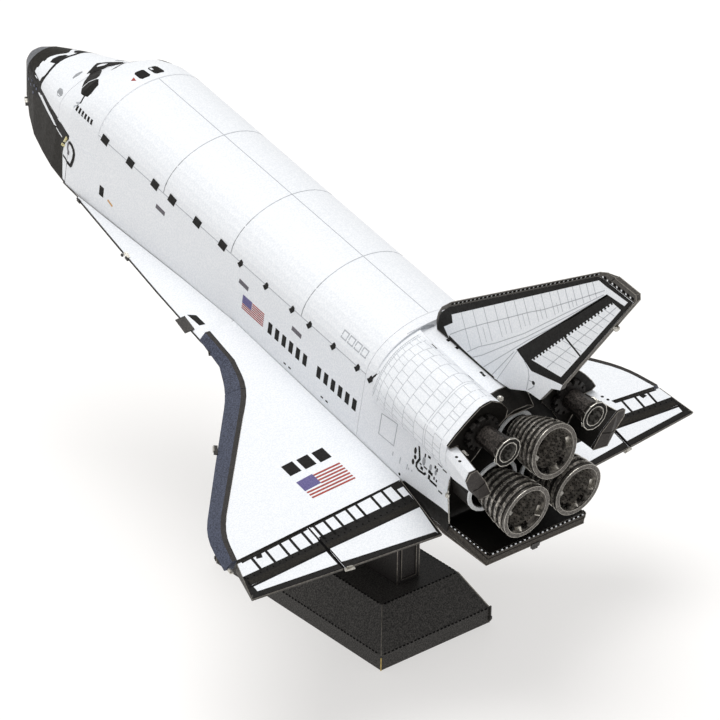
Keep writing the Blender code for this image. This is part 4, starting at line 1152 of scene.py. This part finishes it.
def pack_rim(middle, ends, normals):
    """The top inner edge of a thruster pack."""
    return looks_up(normals) and min(n.x * middle.x for n in normals) < -2.0


for name, edges, material, radius in (
    ("strake_edges", folds(both("strake"), strake_rim), DARK_EDGE, 0.10),
    ("elevon_edges", folds(both("elevon_inboard", "elevon_outboard"), elevon_rim), DULL_EDGE, 0.05),
    ("fin_edges", folds(["fin"], fin_rim) + folds(["rudder"], rudder_rim), DULL_EDGE, 0.045),
    ("pod_plate_edges", folds(both("pod_plate"), aft_rim), DULL_EDGE, 0.05),
    ("hood_edges", folds(["engine_hood"], every_edge), DULL_EDGE, 0.05),
    ("pack_edges", folds(both("thruster_pack"), pack_rim), DULL_EDGE, 0.04),
    ("housing_edges", folds(both("thruster_housing"), aft_rim), DULL_EDGE, 0.05),
    ("flap_folds", folds(["body_flap"], outer_rim), BLACK_INK, 0.07),
    ("flap_edges", folds(["body_flap"], flap_foot), DULL_EDGE, 0.045),
):
    rods(name, edges, material, radius)
sills, slits = [], bmesh.new()
crease_shading = Ink("housing_crease_shading", DEEP, "black_print", 0.03)
for side, sign in SIDES:
    course = mirrored(sign, (9.02, 21.0, -0.98), (9.2, 25.2, -1.0), (9.56, 25.7, -0.99))
    sills += [(a, b, Vector((sign, 0.0, -0.4))) for a, b in zip(course, course[1:])]
    housing = aft_chart(("thruster_housing_" + side,), sign)
    # Painted shade: a near-black line along the housing's diagonal crease.
    crease_shading.line(housing, ((10.35, 12.75), (11.6, 12.55), (12.95, 12.3)), 0.16, 0.4)
    side_bar(slits, sign, (25.7, 101.3, -0.62), (25.7, 106.9, -1.36), 0.42, 0.24, (0, 0, 1))
rods("sill_edges", sills, DARK_EDGE, 0.075)
place_inks()
place_piece("elevon_slits", slits, HOLE)

# The flap's upper sheet rises towards its rear edge.
FLAP_X, FLAP_FRONT, FLAP_REAR, FLAP_TOP = 8.74, 107.16, 116.14, 0.86
bm = bmesh.new()
section = ((108.6, 0.13), (FLAP_REAR, FLAP_TOP), (FLAP_REAR, 0.05), (108.6, 0.05))
prism(bm, [(-FLAP_X, s, z) for s, z in section], [(FLAP_X, s, z) for s, z in section])
place_piece("flap_sheet", bm, FLAP_PRINT)
# Its perforated folds and their bright rims.
UP = Vector((0, 0, 1))
dots, holes, rims = bmesh.new(), bmesh.new(), []
for x in (FLAP_X, -FLAP_X):
    front, rear = Vector((x, FLAP_FRONT + 0.3, 0.0)), Vector((x, FLAP_REAR - 0.2, FLAP_TOP))
    perforate(dots, front, rear, (x, 0, 6), 0.80, 0.24, 0.16, 0.10)
    half = (rear - front).normalized() * 0.4
    perforate(holes, front + half, rear + half * 0.5, (x, 0, 6), 0.80, 0.44, 0.20, 0.07)
    inner = Vector((math.copysign(0.24, x), 0.0, -0.03))
    rims.append((Vector((x, 108.7, 0.15)) - inner, Vector((x, FLAP_REAR - 0.1, FLAP_TOP)) - inner, UP))
left, right = Vector((-FLAP_X + 0.3, FLAP_REAR, FLAP_TOP)), Vector((FLAP_X - 0.3, FLAP_REAR, FLAP_TOP))
perforate(dots, left, right, (0, 1, 0.7), 0.80, 0.24, 0.18, 0.11)
shift = Vector((0.4, 0, 0))
perforate(holes, left + shift, right + shift, (0, 1, 0.7), 0.80, 0.44, 0.2, 0.06)
rims.append((left + Vector((0, -0.24, 0.0)), right + Vector((0, -0.24, 0.0)), UP))
place_piece("flap_perforations", dots, WHITE)
place_piece("flap_holes", holes, HOLE)
rods("flap_rims", rims, DULL_EDGE, 0.03)

# Folded skirts below the flap's sides, running forward under the fuselage's lower edge: (s, foot).
SKIRT_COURSE = ((101.2, -1.0), (104.0, -1.5), (107.3, -1.97), (116.12, -0.97))
SKIRT_TOP, SKIRT_INNER, SKIRT_OUTER = -0.75, 8.57, 8.76
bm = bmesh.new()
skirt_edges = []
for side, sign in SIDES:
    for (s0, low0), (s1, low1) in zip(SKIRT_COURSE, SKIRT_COURSE[1:]):
        inner, outer = (mirrored(sign, (x, s0, low0), (x, s1, low1), (x, s1, SKIRT_TOP), (x, s0, SKIRT_TOP))
                        for x in (SKIRT_INNER, SKIRT_OUTER))
        prism(bm, inner, outer)
        skirt_edges.append((outer[0], outer[1], Vector((sign, 0, -0.5))))
place_piece("flap_skirts", bm, SKIRT)
rods("flap_skirt_edges", skirt_edges, DULL_EDGE, 0.04)


# The flank's sheets run on behind the solid, further at the foot.
def on_flank(s, z, inward=0.0):
    return 9.05 + 0.049 * (z + 0.9) - inward, s, z


WHITE_TAIL = ((106.9, 5.6), (107.14, 5.6), (108.02, 2.12), (106.9, 2.04))
DARK_TAIL = ((106.9, 2.04), (108.02, 2.12), (108.4, 0.6), (108.2, -0.9), (106.9, -0.9))
TAIL_EDGE = ((107.10, 7.5), (107.14, 5.6)), ((107.14, 5.6), (108.4, 0.7))
white_tails, dark_tails, roots, tails = bmesh.new(), bmesh.new(), bmesh.new(), []
for side, sign in SIDES:
    for bm, outline in ((white_tails, WHITE_TAIL), (dark_tails, DARK_TAIL)):
        prism(bm, mirrored(sign, *(on_flank(s, z) for s, z in outline)),
              mirrored(sign, *(on_flank(s, z, 0.16) for s, z in outline)))
    out = Vector((0.3 * sign, 1, 0)).normalized()
    tails += [(*mirrored(sign, on_flank(*a), on_flank(*b)), out) for a, b in TAIL_EDGE]
    # Black strips between the inboard elevons and the flanks.
    strip = mirrored(sign, (9.32, 98.32, 0.72), (9.3, 103.6, 0.10), (10.42, 108.68, -0.50))
    prism(roots, strip, [p - Vector((0, 0, 0.25)) for p in strip])
place_piece("tail_plates", white_tails, WHITE)
place_piece("tail_feet", dark_tails, BLACK_INK)
rods("tail_edges", tails, BRIGHT, 0.065)
place_piece("elevon_root_strips", roots, BLACK_INK)
bm = bmesh.new()
bar(bm, Vector((-0.75, 116.12, -1.05)), Vector((0.75, 116.12, -1.05)), 0.2, 0.75, UP)
bar(bm, Vector((-0.45, 116.15, -1.5)), Vector((0.45, 116.15, -1.5)), 0.2, 0.4, UP)
place_piece("flap_tab", bm, DARK_EDGE)

# Stand: perforated folds, bare edges on the slopes' corners, and two tabs at opposite corners.
STAND_Y = 9.712
STAND_LEVELS = ((10.0, 18.27, 0.0), (10.0, 18.27, 2.45), (6.97, 14.71, 7.77))
CORNERS = ((1, -1), (1, 1), (-1, 1), (-1, -1))


def stand_corner(level, sx, sy):
    a, b, z = STAND_LEVELS[level]
    return Vector((sx * a, STAND_Y + sy * b, z))


bm = bmesh.new()
for level, rise in ((1, 0.35), (2, 1.3)):
    for a, b in edges_of([stand_corner(level, *corner) for corner in CORNERS]):
        away = Vector(((a.x + b.x) / 2, (a.y + b.y) / 2 - STAND_Y, 0)).normalized()
        perforate(bm, a.lerp(b, 0.02), a.lerp(b, 0.98), away + UP * rise, 0.68, 0.36, 0.2)
place_piece("stand_perforations", bm, HOLE, STAND)
stand_lines, brass = [], []
for sx, sy in CORNERS:
    foot, shoulder, top = (stand_corner(level, sx, sy) for level in range(3))
    stand_lines.append((shoulder, top, Vector((sx, sy, 0.6)).normalized()))
    lines = brass if (sx, sy) == (1, 1) else stand_lines
    lines.append((foot, shoulder - UP * 0.35, Vector((sx, sy, 0)).normalized()))
rods("stand_slope_edges", stand_lines, DULL_EDGE, 0.06, STAND)
rods("stand_corner_edges", brass, BRASS, 0.09, STAND)
bm = bmesh.new()
for sign in (1, -1):
    for off, low, high, wide, thick in ((0.1, 0.35, 2.75, 0.3, 0.2), (0.16, 0.6, 1.1, 0.42, 0.3)):
        corner = Vector((-sign * 10.0, STAND_Y + sign * (18.3 + off), 0.0))
        bar(bm, corner + UP * low, corner + UP * high, wide, thick, Vector((0, sign, 0)))
place_piece("stand_tabs", bm, DARK_EDGE, STAND)
# Framed panel on both ends of the post, and the edges of the post.
POST_HALF, POST_FRONT, POST_REAR, POST_FOOT, POST_TOP = 2.0, 0.412, 21.812, 7.8, 16.2
PANEL_HALF = 1.35
frame_edges = []
bm = bmesh.new()
for y, way, top in ((POST_REAR, 1, 15.9), (POST_FRONT, -1, 20.0)):
    out, low = Vector((0, way, 0)), POST_FOOT + 0.6
    panel = ((-PANEL_HALF, low), (PANEL_HALF, low), (PANEL_HALF, top), (-PANEL_HALF, top))
    for a, b in edges_of([Vector((x, y, z)) for x, z in panel]):
        bar(bm, a, b, 0.22, 0.22, out)
        frame_edges.append((a + out * 0.12, b + out * 0.12, out))
place_piece("post_frames", bm, DARK_EDGE, STAND)
rods("post_frame_edges", frame_edges, DULL_EDGE, 0.045, STAND)
post_edges = [(Vector((sx * POST_HALF, POST_REAR, POST_FOOT)), Vector((sx * POST_HALF, POST_REAR, POST_TOP)),
               Vector((sx, 1, 0))) for sx in (1, -1)]
rods("post_edges", post_edges, DULL_EDGE, 0.05, STAND)

# Chin: a deeper black border, a bright fold below it, and blue specks; and a painted glint on the starboard
# overhead window.
CHIN_SOLIDS = ("nose_chin", "nose_upper", "nose_cap", "cockpit_section", "mid_fuselage")
bright = Ink("bright_folds_and_window_glint", WHITE, "white_print", 0.06)
chin_black = Ink("black_prints_chin", BLACK_INK, "black_print", 0.035)
specks = Ink("blue_specks", SPECK_INK, None, 0.06)
for side, sign in SIDES:
    chin = side_chart(CHIN_SOLIDS, sign)
    chin_black.patch(chin, ((3.3, 7.15), (6.2, 7.2), (8.6, 7.2), (11.66, 7.42), (15.5, 7.55), (18.4, 7.62),
                            (21.2, 7.62), (21.2, 7.3), (19.3, 6.1), (16.9, 5.6), (13.8, 5.75), (11.1, 5.7),
                            (8.6, 5.3), (5.5, 4.2), (3.4, 3.4)), 0.25)
    bright.patch(chin, ((8.75, 6.0), (11.16, 5.95), (13.79, 5.95), (16.12, 5.8), (16.89, 6.11), (14.94, 6.45),
                        (12.46, 6.55), (9.74, 6.62)), 0.5)
    bright.line(chin, ((16.97, 5.86), (18.13, 5.7), (18.98, 5.7)), 0.16)
    for s, z in ((4.42, 5.93), (5.71, 5.92), (5.4, 4.87), (6.9, 5.83), (7.91, 5.98), (6.88, 4.62),
                 (4.12, 4.88)):
        specks.dot(chin, s, z, 0.22, 7)
# A painted glint: a small white patch on the starboard overhead window pane.
bright.patch(top_chart(BODY, -1), ((0.58, 24.95), (0.95, 24.95), (0.93, 25.6), (0.56, 25.55)), 0.3)
place_inks()

# Small bent tabs, given for the port side.
bright_tabs, dark_tabs, gilt_tabs = bmesh.new(), bmesh.new(), bmesh.new()
TABS = (
    (gilt_tabs, (9.12, 20.4, 6.35), (0.1, 0.5, 1.0), (1, 0, 0.3), 1.1, 0.45),
    (gilt_tabs, (9.0, 19.85, 5.0), (0.1, 1.0, 0.2), (1, 0, 0.3), 0.8, 0.3),
    (bright_tabs, (25.0, 107.2, -1.35), (1, -0.15, 0), (0, 0.2, 1), 1.5, 0.5),
    (bright_tabs, (38.75, 99.3, -2.0), (0.2, 1, 0), (0, 0, 1), 0.9, 0.5),
    (bright_tabs, (11.5, 110.6, 15.62), (0.05, 1, 0.06), (-0.3, 0, 1), 1.1, 0.35),
    (dark_tabs, (9.62, 25.75, -1.02), (0.12, 1, 0), (0, 0, 1), 0.8, 0.4, 0.25),
    (dark_tabs, (15.05, 63.7, 0.1), (0.6, 1, 0), (0, 0, 1), 0.9, 0.5, 0.25),
)
for side, sign in SIDES:
    for bm, *measures in TABS:
        tab(bm, sign, *measures)
    disc(bright_tabs, (sign * 2.55, 106.6, 18.35), (0.5 * sign, 1, 0.6), 0.42, 0.3)
    disc(bright_tabs, (sign * 9.4, 107.3, 4.9), (sign, 0.9, 0.1), 0.34, 0.22)
    # At the nose.
    a, b, out = mirrored(sign, (2.95, 3.28, 0.78), (3.62, 4.56, 0.37), (0.87, -0.48, -0.09))
    a, b = a + out * 0.02, b + out * 0.02
    bar(dark_tabs, a, b, 0.3, 0.8, out)
    bar(bright_tabs, a.lerp(b, 0.25) + out * 0.08, a.lerp(b, 0.75) + out * 0.08, 0.36, 0.6, out)
    # On the strake's edge: a leaf with three dark studs, and further aft a flap.
    side_bar(bright_tabs, sign, (11.45, 39.2, -0.44), (11.75, 40.4, -0.50), 0.55, 0.16, (0.33, -0.09, 0.94))
    for x, s in ((12.05, 39.35), (11.92, 40.15), (11.98, 40.5)):
        side_bar(dark_tabs, sign, (x, s - 0.2, -0.6), (x + 0.05, s + 0.2, -0.6), 0.26, 0.3, (0, 0, 1))
    side_bar(dark_tabs, sign, (14.2, 55.6, 0.25), (14.75, 58.6, 0.25), 1.5, 0.14, (0.25, 0, 1))
    # On the wing's front edge.
    a, b, out = mirrored(sign, (25.62, 79.15, -0.92), (26.6, 80.5, -1.0), (0.79, -0.61, 0.0))
    a, b = a + out * 0.2, b + out * 0.2
    bar(dark_tabs, a, b, 0.55, 0.25, UP)
    bar(bright_tabs, a.lerp(b, 0.1) + out * 0.3, a.lerp(b, 0.7) + out * 0.3, 0.2, 0.3, UP)
place_piece("bright_tabs", bright_tabs, BRIGHT)
place_piece("dark_tabs", dark_tabs, DARK_EDGE)
place_piece("gilt_tabs", gilt_tabs, GILT)
bm = bmesh.new()
disc(bm, (0.0, 120.9, 39.4), (0, 1, -0.2), 0.42, 0.3)
place_piece("rudder_tab", bm, BRIGHT)


# Studio.
FLOOR_HALF = 3.0
KEY_PLACE, KEY_SIZE, KEY_POWER = Vector((0.18, -0.15, 1.55)), 1.0, 17.8
WORLD_STRENGTH, FLOOR_GLOW = 0.535, 0.58


def make_studio():
    mesh = bpy.data.meshes.new("floor")
    bm = bmesh.new()
    bmesh.ops.create_grid(bm, x_segments=8, y_segments=8, size=FLOOR_HALF)
    bm.to_mesh(mesh)
    bm.free()
    floor = bpy.data.objects.new("floor", mesh)
    bpy.context.scene.collection.objects.link(floor)
    m = Nodes("floor", (0.44, 0.436, 0.432), 0.6, 0.0, 0.2)
    tone = m.ramp(m.noise(0.01, 2.0), 0.3, (0.435, 0.431, 0.427), 0.7, (0.445, 0.441, 0.437))
    m.link(tone, m.shader.inputs["Base Color"])
    m.shader.inputs["Emission Color"].default_value = (1.0, 0.985, 0.97, 1.0)
    m.shader.inputs["Emission Strength"].default_value = FLOOR_GLOW
    mesh.materials.append(m.material)
    bpy.context.scene.view_settings.view_transform = "Standard"
    world = bpy.data.worlds.new("world")
    bpy.context.scene.world = world
    world.use_nodes = True
    background = world.node_tree.nodes["Background"]
    background.inputs["Color"].default_value = (1.0, 1.0, 1.0, 1.0)
    background.inputs["Strength"].default_value = WORLD_STRENGTH
    data = bpy.data.lights.new("key", "AREA")
    data.size = KEY_SIZE
    data.energy = KEY_POWER
    data.color = (1.0, 0.995, 0.985)
    light = bpy.data.objects.new("key", data)
    bpy.context.scene.collection.objects.link(light)
    light.location = KEY_PLACE
    light.rotation_mode = "QUATERNION"
    light.rotation_quaternion = (KEY_PLACE - Vector((0, 0, 0.03))).to_track_quat("Z", "Y")


make_studio()
